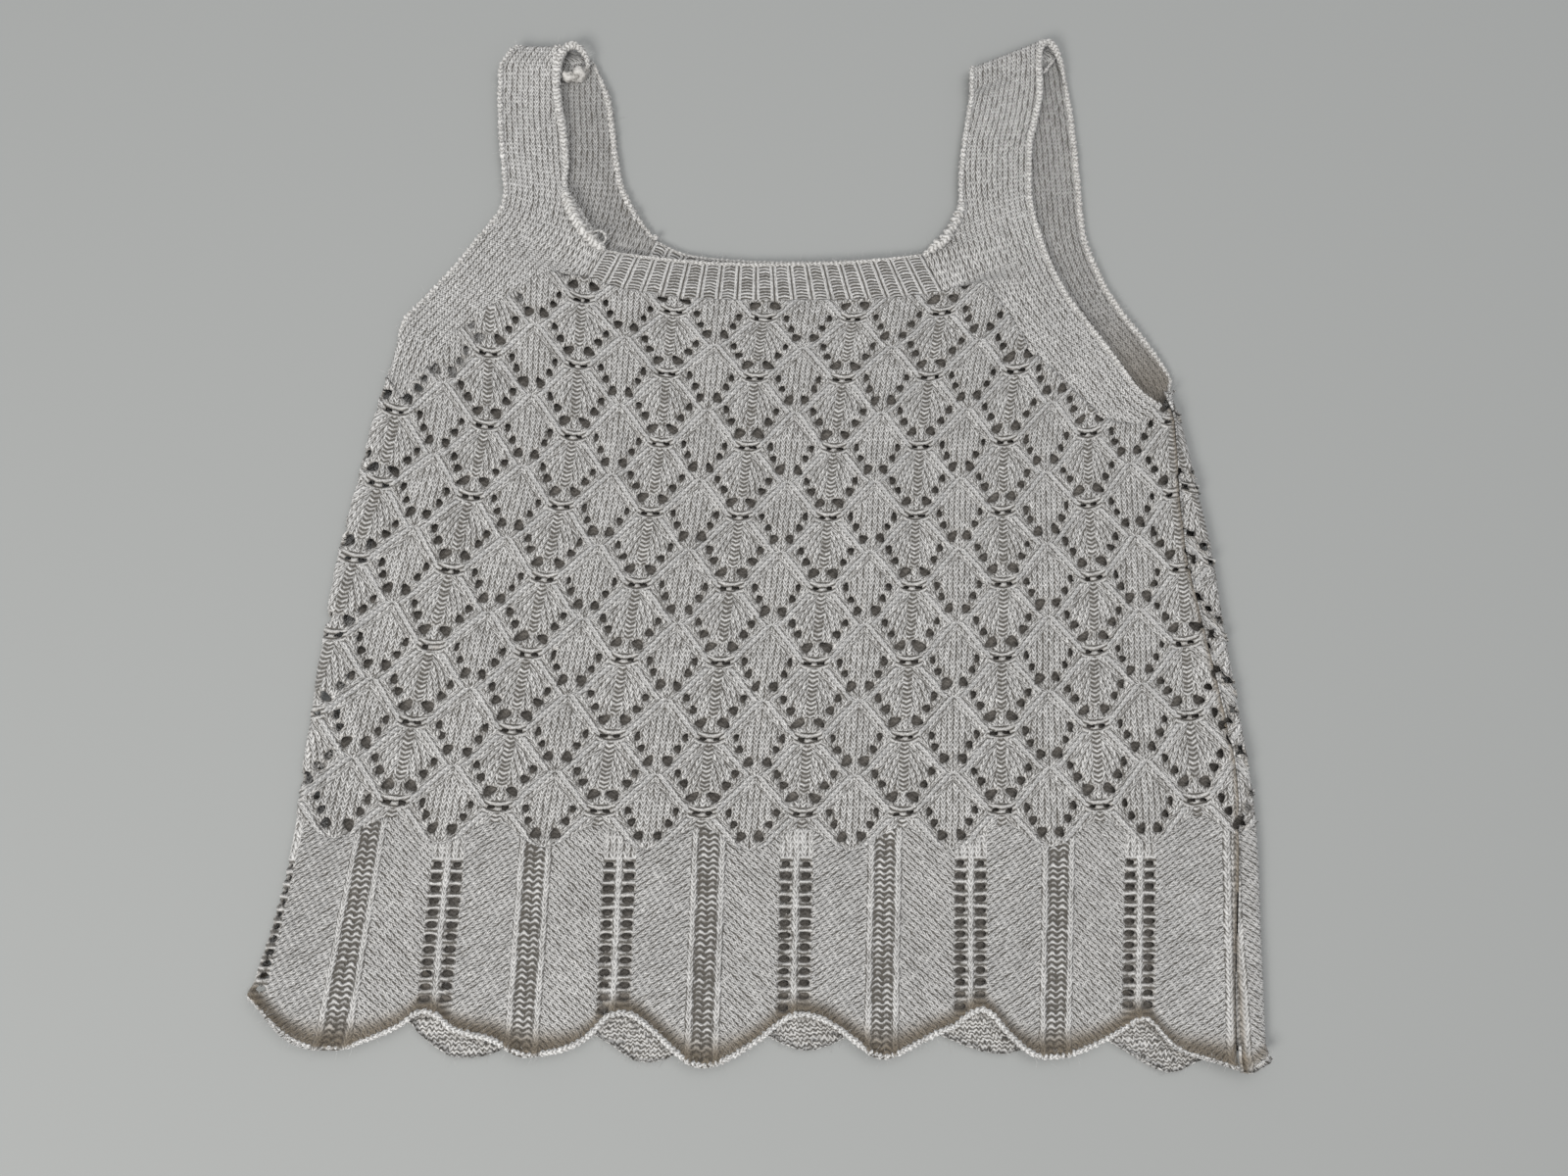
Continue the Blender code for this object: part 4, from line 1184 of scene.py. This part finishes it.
def draw_rib(c, chart, amount):
    """Map in ribs across and rows along: a knit wale, then purl bumps."""
    u, v = c.split(moved(c, chart, amount, (0.06, 0.8, 0)))[:2]
    off = c.size(c.off(u))
    between = c.less(c.part(u), 0.5)
    wale = place_group(
        c,
        KNIT,
        Across=c.add(c.times(off, 4.6), 0.04),
        Along=v,
        Seed=c.sum("ROUND", u),
        Groove=0.5,
        Strand=0.3,
    )
    bumps = place_group(
        c,
        PURL,
        Across=c.add(c.times(between, 1.1), 0.5),
        Along=c.times(v, 1.3),
        Seed=c.sum("FLOOR", u),
    )
    beside = c.step(off, 0.18, 0.23)
    dark = c.line(c.step(off, 0.02, 0.075), 0.78, 0.22)
    pitted = c.sum("POWER", bumps["Height"], 1.1)
    purled = c.line(pitted, 0.78, 0.02)
    return c.blend(beside, c.times(c.times(wale["Height"], dark), 0.95), purled)


draw_edge = purled((0.6, 1.2, 0), 0.46, 0.34)
draw_lace = charted(LACE_CHART, (0.026, 0.030, 0))
draw_border = charted(BORDER_CHART, (0.018, 0.16, 0))
draw_soft = purled((1.5, 2.2, 0), 0.66, 0.12)
LACE_YARN = knitted("lace_knit", YARN, OATMEAL, 0.0011, draw_lace)
BORDER_YARN = knitted("border_knit", YARN, WORN_OATMEAL, 0.0011, draw_border)
PLAIN_YARN = knitted("plain_knit", YARN, OATMEAL, 0.0011, draw_plain)
RIB_YARN = knitted("neck_rib", YARN, OATMEAL, 0.0011, draw_rib)
EDGE_YARN = knitted("curled_edge", YARN, PALE_FUZZ_AND_HIGHLIGHT, 0.0007, draw_edge)
BEHIND_SHADE_YARN = knitted("plain_knit_in_painted_shade", YARN, BEHIND_SHADE, 0.0011, draw_plain)
SOFT_YARN = knitted("soft_purl", YARN, OATMEAL, 0.0009, draw_soft)
SHADED_YARN = knitted("shaded_purl", YARN, SHADED, 0.0008, draw_edge)


# ------------------------------------------------------------------- pieces


def lace_relief(u, v):
    """How far the lace stands out: travelling stitches, domes and bars."""
    du = np.abs(u - np.round(u))
    vv = v - 0.02 - np.round(v - 0.02)
    off_line = du - 0.15 - 0.70 * np.abs(vv)
    off_chain = off_line - np.where(vv > 0, -0.085, -0.03)
    ridge = bell(off_chain, 0.085)
    dome = np.clip(-off_chain / 0.3, 0, 1) * np.abs(np.sin(np.pi * vv))
    plain = np.clip(off_chain / 0.3, 0, 1)
    bar = bell(du, 0.14) * bell(vv, 0.06)
    return 0.60 * ridge + 0.70 * dome + 0.55 * plain + 0.35 * bar


def lace_eyelets(cloth, shift, first, last):
    """Opens every eyelet of the chart, none of them quite alike."""
    for row in range(-1, 9):
        for column in range(-8, 9):
            for k in range(len(EYELETS["diamond"])):
                for way in (-1, 1):
                    odd = EYELETS["diamond"][k]
                    jog = RNG.normal(0, 0.006, 2)
                    grow = 1 + RNG.normal(0, 0.09, 2)
                    u = column + shift + 0.5 * odd + EYELETS["across"][k] * way
                    v = row + 0.5 * (1 - odd) + EYELETS["down"][k]
                    if not first < v < last:
                        continue
                    cloth.open_eyelet(
                        u + jog[0],
                        v + jog[1],
                        EYELETS["wide"][k] * grow[0],
                        EYELETS["high"][k] * grow[1],
                        EYELETS["lean"][k] * way,
                        REPEAT,
                    )


def front_sides(ys):
    """Right and left edge of the front, from the seam to the wrapped side."""
    right = np.stack([curve(SIDES, "y", "seam", ys) - SEAM_GAP, ys], 1)
    left = np.stack([left_axis(ys) - HALF_TURN - WRAP, ys], 1)[::-1]
    return right, left


def back_sides(ys):
    """The same for the back, which wraps round the right side to the seam."""
    axis = right_axis(ys)
    seam = np.maximum(0.4, axis - curve(SIDES, "y", "seam", ys) - SEAM_GAP)
    right = np.stack([axis + HALF_TURN + seam, ys], 1)
    left = np.stack([left_axis(ys) + WRAP + 0.3, ys], 1)[::-1]
    return right, left


def with_foot(right, left, shift):
    """The wavy lower edge of the lace, and what of its sides is above that."""
    u = np.linspace(-7.2, 7.2, 500)
    x, y = lace_point(u, lace_foot(u - shift))
    kept = (x > np.interp(y, left[::-1, 1], left[::-1, 0])) & (
        x < np.interp(y, right[:, 1], right[:, 0])
    )
    foot = np.stack([x, y], 1)[kept]
    return right[right[:, 1] > foot[-1, 1]], left[left[:, 1] > foot[0, 1]], foot


def front_loop():
    """Outline of the lace of the front, tucked a little under the bands."""
    top = panel_top(FRONT_LEFT, FRONT_NECK, FRONT_RIGHT)
    right, left, foot = with_foot(*front_sides(np.linspace(-140, 88, 60)), 0.0)
    corner = np.array([[178.8, 91.6]])
    turn = left_axis(98.0)
    last = np.array([[-185.0, 98.0], [turn - 8, 97.4], [turn - 14, 97.4]])
    return np.vstack([right, corner, top, last, left, foot])


def back_loop():
    """Outline of the lace of the back."""
    top = panel_top(BACK_LEFT, BACK_NECK, BACK_RIGHT)
    right, left, foot = with_foot(*back_sides(np.linspace(-140, 94, 60)), LACE_SHIFT)
    corner = np.array([[right_axis(98.0) + 7.5, 97.4], [188.0, 98.8]])
    return np.vstack([right, corner, top, left, foot])


def make_lace(name, rows, shift, loop, lay, steps, grain):
    """A stretch of lace between two rows of the chart."""
    across = np.arange(-6.6, 6.9, steps[0])
    count = int(round((rows[1] - rows[0]) / steps[1]))
    cloth = Cloth(across, np.linspace(rows[0], rows[1], count + 1))
    lace_eyelets(cloth, shift, rows[0] - 0.2, min(rows[1], LACE_FOOT[0]) + 0.04)
    cloth.fixed = split = np.abs(cloth.v - LACE_SPLIT) < 1e-6
    cloth.draw_eyelets()
    x, y = lace_point(cloth.u, cloth.v)
    cloth.trim(x, y, loop)
    near_foot = lace_foot(cloth.u - shift) - cloth.v
    joined = split | (near_foot < 0.02)
    fade = ease(near_foot / 0.1)
    chart = np.stack([cloth.su - shift, cloth.sv], 1)
    relief = 0.35 + (lace_relief(*chart.T) - 0.35) * fade
    out = HALF + grain * relief - 0.7 * cloth.drop
    # painted shade on the rims that drop into the eyelets
    shade = 0.35 * cloth.drop
    if lay is lay_front:
        shade = np.clip(shade + seam_groove_shade(cloth.x, cloth.y), 0, 1)
    return finish_cloth(name, cloth, lay, out, chart, shade, LACE_YARN, joined)


def border_cloth(data, shift, lace_shift, step, wall, ladders):
    """The border under the lace, down to its scalloped hem, not laid yet."""
    lines = np.arange(wall[0], wall[1], step / BORDER_REPEAT)
    depth = int(round(BORDER_DEEP / step))
    cloth = Cloth(lines, np.linspace(0, 1, depth))
    foot = curve(BORDER, "line", "foot", lines + shift)
    top = curve(BORDER, "line", "top", lines + shift)
    hems = hem(data, foot)
    row = np.full(len(lines), LACE_FOOT[0])
    for _ in range(3):  # closes in on where each line meets the lace's foot
        column = (top - curve(LACE, "row", "mid_x", row)) / FOOT_PITCH
        row = lace_foot(column - lace_shift)
    tops = lace_point(column, row)[1] + 2.0
    share = cloth.v
    y = np.tile(tops, depth) * (1 - share) + np.tile(hems, depth) * share
    under = ease((y - np.tile(tops, depth) + 2.4) / 1.2)
    cloth.v = -y / 10.0
    rows_v = cloth.v.reshape(cloth.shape).copy()
    for line in range(*ladders):
        for k in range(13):
            for way in (-1, 1):
                at_y = LADDER_TOP - LADDER_ROW * k + RNG.normal(0, 0.15)
                u = line + LADDER_SIDE * way / BORDER_REPEAT
                j = int(np.argmin(np.abs(lines - u)))
                grow = 1 + RNG.normal(0, 0.07, 2)
                beside = abs(lines[j] - u) * BORDER_REPEAT > step
                if beside or at_y < hems[j] + 4.5:
                    continue
                wide, high = LADDER_EYELET * grow * (0.8 if k == 0 else 1.0)
                open_border_eyelet(cloth, j, u, -at_y / 10.0, wide, high, rows_v)
    cloth.draw_eyelets()
    y = -cloth.v * 10.0
    t = (BORDER_TOP - y) / (BORDER_TOP - BORDER_FOOT)
    line = cloth.u + shift
    x = curve(BORDER, "line", "top", line) * (1 - t)
    return cloth, x + curve(BORDER, "line", "foot", line) * t, y, under


def open_border_eyelet(cloth, j, u, v, wide, high, rows_v):
    """An eyelet of a ladder, marked among the points round its column."""
    columns = cloth.shape[1]
    reach = int(wide / (BORDER_REPEAT * (cloth.u[1] - cloth.u[0]))) + 2
    j0, j1 = max(0, j - reach), min(columns, j + reach + 1)
    block = rows_v[:, j0:j1]
    i, jj = np.nonzero(np.abs(block - v) * 10.0 < high)
    k = i * columns + jj + j0
    du, dv = cloth.u[k] - u, cloth.v[k] - v
    across, down = np.abs(du * 2 * BORDER_REPEAT / wide), np.abs(dv * 20.0 / high)
    rho = (across**SQUARENESS + down**SQUARENESS) ** (1 / SQUARENESS)
    cloth.mark(k, rho, u, v, du, dv)


def border_relief(line, y):
    """Ribs and their edge wales stand out, and so do the ladder wales."""
    off = line - np.round(line)
    mm = np.abs(off) * BORDER_REPEAT
    rib = RIB_LINE - mm
    high = 0.55 * ease((8.2 - rib) / 1.2)
    high += 0.30 * bell(rib - 6.0, 1.4) - 0.25 * bell(rib, 3.0)
    seam = np.abs(SEAM_LINE - (line - 2.0) * BORDER_REPEAT)
    beside = 0.6 * bell(seam - 2.9, 1.6) - 0.7 * bell(seam, 1.3)
    high = np.where(line > 2.2, beside, high)
    bars = 0.5 + 0.5 * np.cos(2 * np.pi * (y + 120.9) / LADDER_ROW)
    return high + 0.45 * bell(mm, 1.5) + 0.25 * bars * bell(mm - 4.4, 2.2)


def seam_groove_shade(x, y):
    """How much painted shade the side seam's groove lays on the cloth beside it, on the
    surface.
    """
    return bell(curve(SIDES, "y", "seam", y) - x, 1.6)


def hem_rope(data, lay, ends, rise, radius):
    """The curled edge of a hem as a lumpy cord."""
    x = np.linspace(*ends, 420)
    y = hem(data, x) + 0.8
    path = lay(x, y, rise(x, y))
    return rope(path, radius, 2.6, around=8), fuzz(path, 2.6)


def front_border():
    """The front's border, with its hem curled up."""
    cloth, x, y, under = border_cloth(FRONT_HEM, 0.0, 0.0, 1.0, (-3.42, 2.62), (-3, 3))
    cloth.trim(x, y, np.vstack(front_sides(np.linspace(-230, -60, 60))))

    def lift(x, y):
        """Distance from the hem, 1 where the cloth lies flat, and the curl."""
        over = y - hem(FRONT_HEM, x)
        flat = ease((x - left_axis(y) + HALF_TURN * 0.6) / 3)
        curl = 2.2 * ease(1 - over / 6.0) - 0.7 * bell(over - 8.0, 3.0)
        return over, flat, curl * flat

    over, flat, curl = lift(x, y)
    out = HALF + border_relief(cloth.su, y) * flat + curl - 0.6 * cloth.drop
    out = out * (1 - under) + (HALF - 0.5) * under
    chart = np.stack([cloth.su, cloth.sv], 1)
    # painted shade in the trough above the curled hem, on the eyelets' rims and beside
    # the seam
    tip = 7.0 + 5.0 * bell(np.abs(cloth.su - np.round(cloth.su)) - 0.5, 0.2)
    trough_shade = ease((over - 0.3) / 1.2) * (1 - ease((over - 3.2) / tip))
    shade = np.clip(0.35 * cloth.drop + trough_shade + seam_groove_shade(x, y), 0, 1)

    def rise(x, y):
        """Where the middle of the curled edge is."""
        return HALF + lift(x, y)[2] - 0.6

    edge = hem_rope(FRONT_HEM, lay_front, (-226.0, 197.5), rise, 1.25)
    sheet = cloth, lay_front, out, chart, shade, BORDER_YARN, under > 0.9, edge
    return finish_cloth("front_border", *sheet)


def back_border():
    """The back's border, which shows past the right seam and from behind."""
    cloth, x, y, under = border_cloth(
        BACK_HEM, BORDER_SHIFT, LACE_SHIFT, 1.5, (-2.95, 3.25), (-2, 3)
    )
    cloth.trim(x, y, np.vstack(back_sides(np.linspace(-230, -60, 60))))

    def upward(x, y):
        """1 where the back has come up over the right side, and else 0."""
        return ease((x - right_axis(y) - HALF_TURN * 0.4) / 3)

    over, up = y - hem(BACK_HEM, x), upward(x, y)
    across = np.where(cloth.su > BACK_FLAP, 2 * BACK_FLAP - cloth.su, cloth.su)
    out = HALF - 0.25 + border_relief(across, y) * up
    out = out + 1.8 * ease(1 - over / 6.0) * up - 0.5 * cloth.drop - 0.4 * under
    chart = np.stack([across, cloth.sv], 1)
    # painted shade in the trough above the hem, in the seam's groove and on the
    # eyelets' rims
    groove = bell((across - 2.0) * BORDER_REPEAT - SEAM_LINE - 1.0, 1.2)
    shade = 0.35 * cloth.drop + 0.8 * (bell(over - 4.0, 3.4) + groove) * up
    shade = np.clip(shade, 0, 1)

    def rise(x, y):
        """Where the middle of the curled edge is."""
        return 2.4 * upward(x, y) - 0.3

    edge = hem_rope(BACK_HEM, lay_back, (-196.0, 222.0), rise, 1.15)
    sheet = cloth, lay_back, out, chart, shade, BORDER_YARN, under > 0.9, edge
    return finish_cloth("back_border", *sheet)


def hem_inside():
    """The purled inside of the back's hem, between the front's scallops."""
    xs = np.arange(-206.0, 206.0, 1.0)
    cloth = Cloth(xs, np.linspace(0, 1, 26))
    bottom = hem(BACK_HEM, cloth.u)
    y = bottom + 26.0 * (1 - cloth.v)
    cloth.draw_eyelets()
    loop = np.array([[-205, -230], [205, -230], [205, -150], [-205, -150.0]])
    cloth.trim(cloth.u, y, loop)
    over = y - bottom
    lumps = np.sin(cloth.u / 0.62 + 1.3 * np.sin(y / 1.9)) * np.sin(y / 0.52)
    lumps = lumps + 0.8 * np.sin(y / 1.7 + np.sin(cloth.u / 2.1))
    out = -HALF - 0.30 * lumps - 0.5 * ease(1 - over / 9.0) - 0.3
    chart = np.stack([cloth.u / 2.3 + 0.35 * np.sin(y / 2.6), y / 2.0], 1)
    # painted shade, deepening where the front's hem covers this; the covered part takes
    # the dark shaded yarn
    to_front = cloth.y - hem(FRONT_HEM, cloth.x)
    shade = 0.05 + 0.6 * ease((to_front + 4.0) / 5.0)
    cloth.faces = cloth.faces[:, ::-1]
    sheet = cloth, lay_back, out, chart, shade, SOFT_YARN
    return finish_cloth("back_hem_inside", *sheet, covered=to_front > 1.0)


def back_inside():
    """The purled inside of the back, in the dark shaded yarn as painted shade between
    the layers, which darkens the front's eyelets.
    """
    cloth = Cloth(np.arange(-222.0, 222.0, 3.0), np.arange(-190.0, 180.0, 3.0))
    cloth.draw_eyelets()
    cloth.faces = cloth.faces[:, ::-1]
    top = panel_top(BACK_LEFT, BACK_NECK, BACK_RIGHT)
    ys = np.linspace(-178, 94, 50)
    right = np.stack([right_axis(ys) - 0.5, ys], 1)
    left = np.stack([left_axis(ys) + WRAP + 0.5, ys], 1)[::-1]
    x = np.linspace(-205, 205, 300)
    foot = np.stack([x, hem(BACK_HEM, x) + 23.0], 1)
    loop = np.vstack([right, top, left, foot])
    cloth.trim(cloth.u, cloth.v, loop)
    out = np.full(len(cloth.u), -HALF + 0.6)
    chart = np.stack([cloth.u / 2.7, cloth.v / STITCH[1]], 1)
    shade = np.full(len(cloth.u), 0.5)
    sheet = cloth, lay_back, out, chart, shade, SHADED_YARN
    return finish_cloth("back_lace_inside", *sheet)


def band_grid(edge, inner, wide):
    """Points across a band from rail to rail, and how far across they are."""
    shares = np.linspace(0, 1, wide)
    x = edge[:, :1] + (inner[:, :1] - edge[:, :1]) * shares
    y = edge[:, 1:] + (inner[:, 1:] - edge[:, 1:]) * shares
    across = np.linalg.norm(inner - edge, axis=1)[:, None] * shares
    return x, y, across, np.minimum(across, across[:, -1:] - across)


def band_object(name, x, y, lay, outs, chart, shade, material, more):
    """A closed strip with an outer and an inner face and a round rim."""
    rows, columns = x.shape
    total = rows * columns
    k = np.arange(total).reshape(rows, columns)
    faces = squares(rows, columns)
    outer, inner = (lay(x.ravel(), y.ravel(), out.ravel()) for out in outs)
    a, b, c = (outer[faces[:, side]] for side in range(3))
    if (np.cross(b - a, c - a) * (outer - inner)[faces[:, 0]]).sum() < 0:
        faces = faces[:, ::-1]
    rim = np.concatenate([k[0], k[1:, -1], k[-1, -2::-1], k[-2:0:-1, 0]])
    after = np.roll(rim, -1)
    row, column = np.divmod(rim, columns)
    within = np.clip(row, 1, rows - 2) * columns + np.clip(column, 1, columns - 2)
    middle = (outer[rim] + inner[rim]) / 2
    rounded = middle + unit(middle - (outer[within] + inner[within]) / 2) * 0.55
    here = 2 * total + np.arange(len(rim))
    there = np.roll(here, -1)
    ring = [
        np.stack([after, rim, here, there], 1),
        np.stack([there, here, rim + total, after + total], 1),
    ]
    forward = (faces == rim[0]) & (np.roll(faces, -1, 1) == after[0])
    if not forward.any():
        ring = [quads[:, [1, 0, 3, 2]] for quads in ring]
    points = np.concatenate([outer, inner, rounded])
    faces = np.concatenate([faces, faces[:, ::-1] + total, *ring])
    chart = np.concatenate([chart, chart, chart[rim]])
    shade = np.concatenate([shade, shade, shade[rim]])
    parts = [(points, faces, chart, shade), *more]
    return cloth_object(name, parts, material, EDGE_YARN)


def make_strap(name, data, side, lay, material):
    """A strap with its armhole band, over its fold if it is the front's."""
    steps = 16
    edge, inner = rail(data, "edge", steps), rail(data, "inner", steps)
    turn = int(np.flatnonzero(data["corner"] > 0)[2]) * steps
    front = lay is lay_front
    if front:
        ends = np.concatenate(
            [np.linspace(-13, 0, 14)[:-1], np.linspace(0, HALF_TURN + STRAP_UNDER, 26)]
        )
        more_edge, more_inner = [], []
        for off in ends[3:]:
            for p, run in ((edge[-1], more_edge), (inner[-1], more_inner)):
                tuck = STRAP_TOPS[side]["tuck"] * ease((off + 10) / 13)
                at = p[0] + (tuck if run is more_edge else 0.0)
                run.append([at, float(strap_axis(np.array(at))) + off])
        edge = np.vstack([edge, more_edge])
        inner = np.vstack([inner, more_inner])
    x, y, across, edge_off = band_grid(edge, inner, 40)
    s = across / STITCH[0]
    t = np.repeat(lengths(edge)[:, None] / STITCH[1], 40, 1)
    outs = (
        HALF + 0.12 * np.cos(2 * np.pi * s) - 0.35 * ease(1 - edge_off / 2.0),
        -HALF + 0.2 * ease(1 - edge_off / 2.0),
    )
    # painted shade along the band's edges, where the cloth dips away
    shade = 0.15 * ease(1 - edge_off / 1.2)
    if front:
        # The corner at the neck is bound off in a strip that stands out.
        far = np.linalg.norm(inner - inner[turn], axis=1)
        far[:turn] = np.inf
        strip = bell(across[:, -1:] - across - 2.2, 2.0)
        outs[0][:] += 0.9 * strip * ease((36 - far) / 6)[:, None]
    else:
        outs = (0 * s + HALF - 0.15, -HALF - 0.1 * np.cos(2 * np.pi * s))
        # painted shade on the back's straps, deepening towards the pocket at the right
        # underarm
        shade = shade + 0.06
        if side == "right":
            shade = shade + 0.75 * ease((150 - y) / 55)
    chart = np.stack([s.ravel(), t.ravel()], 1)
    shade = np.clip(shade, 0, 1).ravel()
    # the cords along the edges take painted shade, more on the back
    rise, thick, dark = (0.75, 1.35, 0.08) if front else (-0.75, 1.6, 0.16)
    more = []
    for run in (edge, inner[turn:]):
        path = lay(run[:, 0], run[:, 1], rise)
        more += [rope(path, thick, 3.0, shade=dark), fuzz(path, 1.6)]
    more += cords(name)
    return band_object(name, x, y, lay, outs, chart, shade, material, more)


def make_neck(name, data, lay):
    """A neck ribbing, with a rib to each unit across its map."""
    count = NECK_RIBS * 8 + 1
    edge, inner = (even(rail(data, which, 12), count) for which in ("edge", "inner"))
    x, y, across, edge_off = band_grid(edge, inner, 20)
    ribs = np.repeat(np.linspace(0, NECK_RIBS, count)[:, None], 20, 1)
    relief = 0.35 * bell(ribs - np.round(ribs), 0.16)
    relief = relief - 0.30 * ease(1 - edge_off / 1.6)
    chart = np.stack([ribs.ravel(), (-across / STITCH[1]).ravel()], 1)
    # painted shade along the ribbing's edges, and a little on its cord
    shade = (0.2 * ease(1 - edge_off / 1.2)).ravel()
    outs = (HALF + relief, -HALF + 0 * relief)
    if lay is lay_back:
        outs = (HALF - 0.2 + 0 * relief, -HALF - 0.2 * relief)
    path = lay(edge[:, 0], edge[:, 1], 0.8 if lay is lay_front else -0.8)
    more = [rope(path, 1.0, 2.6, shade=0.12), fuzz(path, 1.2)]
    body = band_object(name, x, y, lay, outs, chart, shade, RIB_YARN, more)
    return body


front = front_loop(), lay_front, (1 / 44, 1 / 36), 1.0
lace_top = make_lace("front_lace_upper", (LACE_START, LACE_SPLIT), 0.0, *front)
lace_low = make_lace("front_lace_lower", (LACE_SPLIT, LACE_END), 0.0, *front)
border = front_border()
back = back_loop(), lay_back, (1 / 28, 1 / 22), 0.0
lace_back = make_lace("back_lace", (LACE_START, LACE_END), LACE_SHIFT, *back)
border_back = back_border()
inside_hem = hem_inside()
inside_back = back_inside()
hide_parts("front_panel")
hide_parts("back_panel")
for name, data, side, lay, material in (
    ("strap_left_front_knit", FRONT_LEFT, "left", lay_front, PLAIN_YARN),
    ("strap_right_front_knit", FRONT_RIGHT, "right", lay_front, PLAIN_YARN),
    ("strap_left_back_knit", BACK_LEFT, "left", lay_back, BEHIND_SHADE_YARN),
    ("strap_right_back_knit", BACK_RIGHT, "right", lay_back, BEHIND_SHADE_YARN),
):
    strap = make_strap(name, data, side, lay, material)
    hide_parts(name.replace("_knit", ""))
neck = make_neck("front_neck_ribbing", FRONT_NECK, lay_front)
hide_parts("front_neckband")
neck_back = make_neck("back_neck_ribbing", BACK_NECK, lay_back)
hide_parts("back_neckband")


# -------------------------------------------------- floor, light and camera

bpy.ops.mesh.primitive_plane_add(size=6.0, location=(0, 0, -0.0002))
floor = bpy.context.object
floor.name = "floor"
paper = bpy.data.materials.new("pale_floor")
paper.use_nodes = True
surface = paper.node_tree.nodes["Principled BSDF"].inputs
surface["Base Color"].default_value = (0.275, 0.280, 0.272, 1)
surface["Roughness"].default_value = 0.9
floor.data.materials.append(paper)


def soft_light(name, place, size, power, tint):
    """A wide lamp that points at the middle of the part."""
    light = bpy.data.lights.new(name, "AREA")
    light.shape = "RECTANGLE"
    light.size, light.size_y = size
    light.energy = power
    light.color = tint
    lamp = bpy.data.objects.new(name, light)
    bpy.context.scene.collection.objects.link(lamp)
    lamp.location = place
    aim = Vector((0, 0, 0)) - Vector(place)
    lamp.rotation_euler = aim.to_track_quat("-Z", "Y").to_euler()


soft_light("window", (-1.0, -1.3, 1.3), (0.9, 0.7), 36.0, (1.0, 0.99, 0.97))
soft_light("overhead", (0.3, 0.3, 1.9), (1.8, 1.8), 26.0, (1.0, 1.0, 1.0))
world = bpy.data.worlds.new("studio")
world.use_nodes = True
sky = world.node_tree.nodes["Background"].inputs
sky["Color"].default_value = (0.93, 0.95, 1.0, 1)
sky["Strength"].default_value = 0.45
bpy.context.scene.world = world

FOCAL = 1202.0 / 1600.0  # focal length over the width of the picture
EYE = np.array([-28.26, -95.31, 535.69])  # over the pattern
TIP = (-0.054, 0.179)  # how far the surface tips away, in the view
lens = bpy.data.cameras.new("camera")
lens.sensor_width = 36.0
lens.lens = FOCAL * lens.sensor_width
camera = bpy.data.objects.new("camera", lens)
bpy.context.scene.collection.objects.link(camera)
normal = Vector((*TIP, 1.0)).normalized()
right = (Vector((1, 0, 0)) - normal * normal.x).normalized()
up = (-normal).cross(right)
# Columns are the view's right, down and forward directions in the frame.
turn = Matrix((right, up, -normal))
flip = Matrix(((1, 0, 0), (0, -1, 0), (0, 0, -1)))
pose = (turn @ flip).to_4x4()
pose.translation = Vector((EYE + PLACE) * MM)
camera.matrix_world = pose
bpy.context.scene.camera = camera
bpy.context.scene.view_settings.view_transform = "Standard"
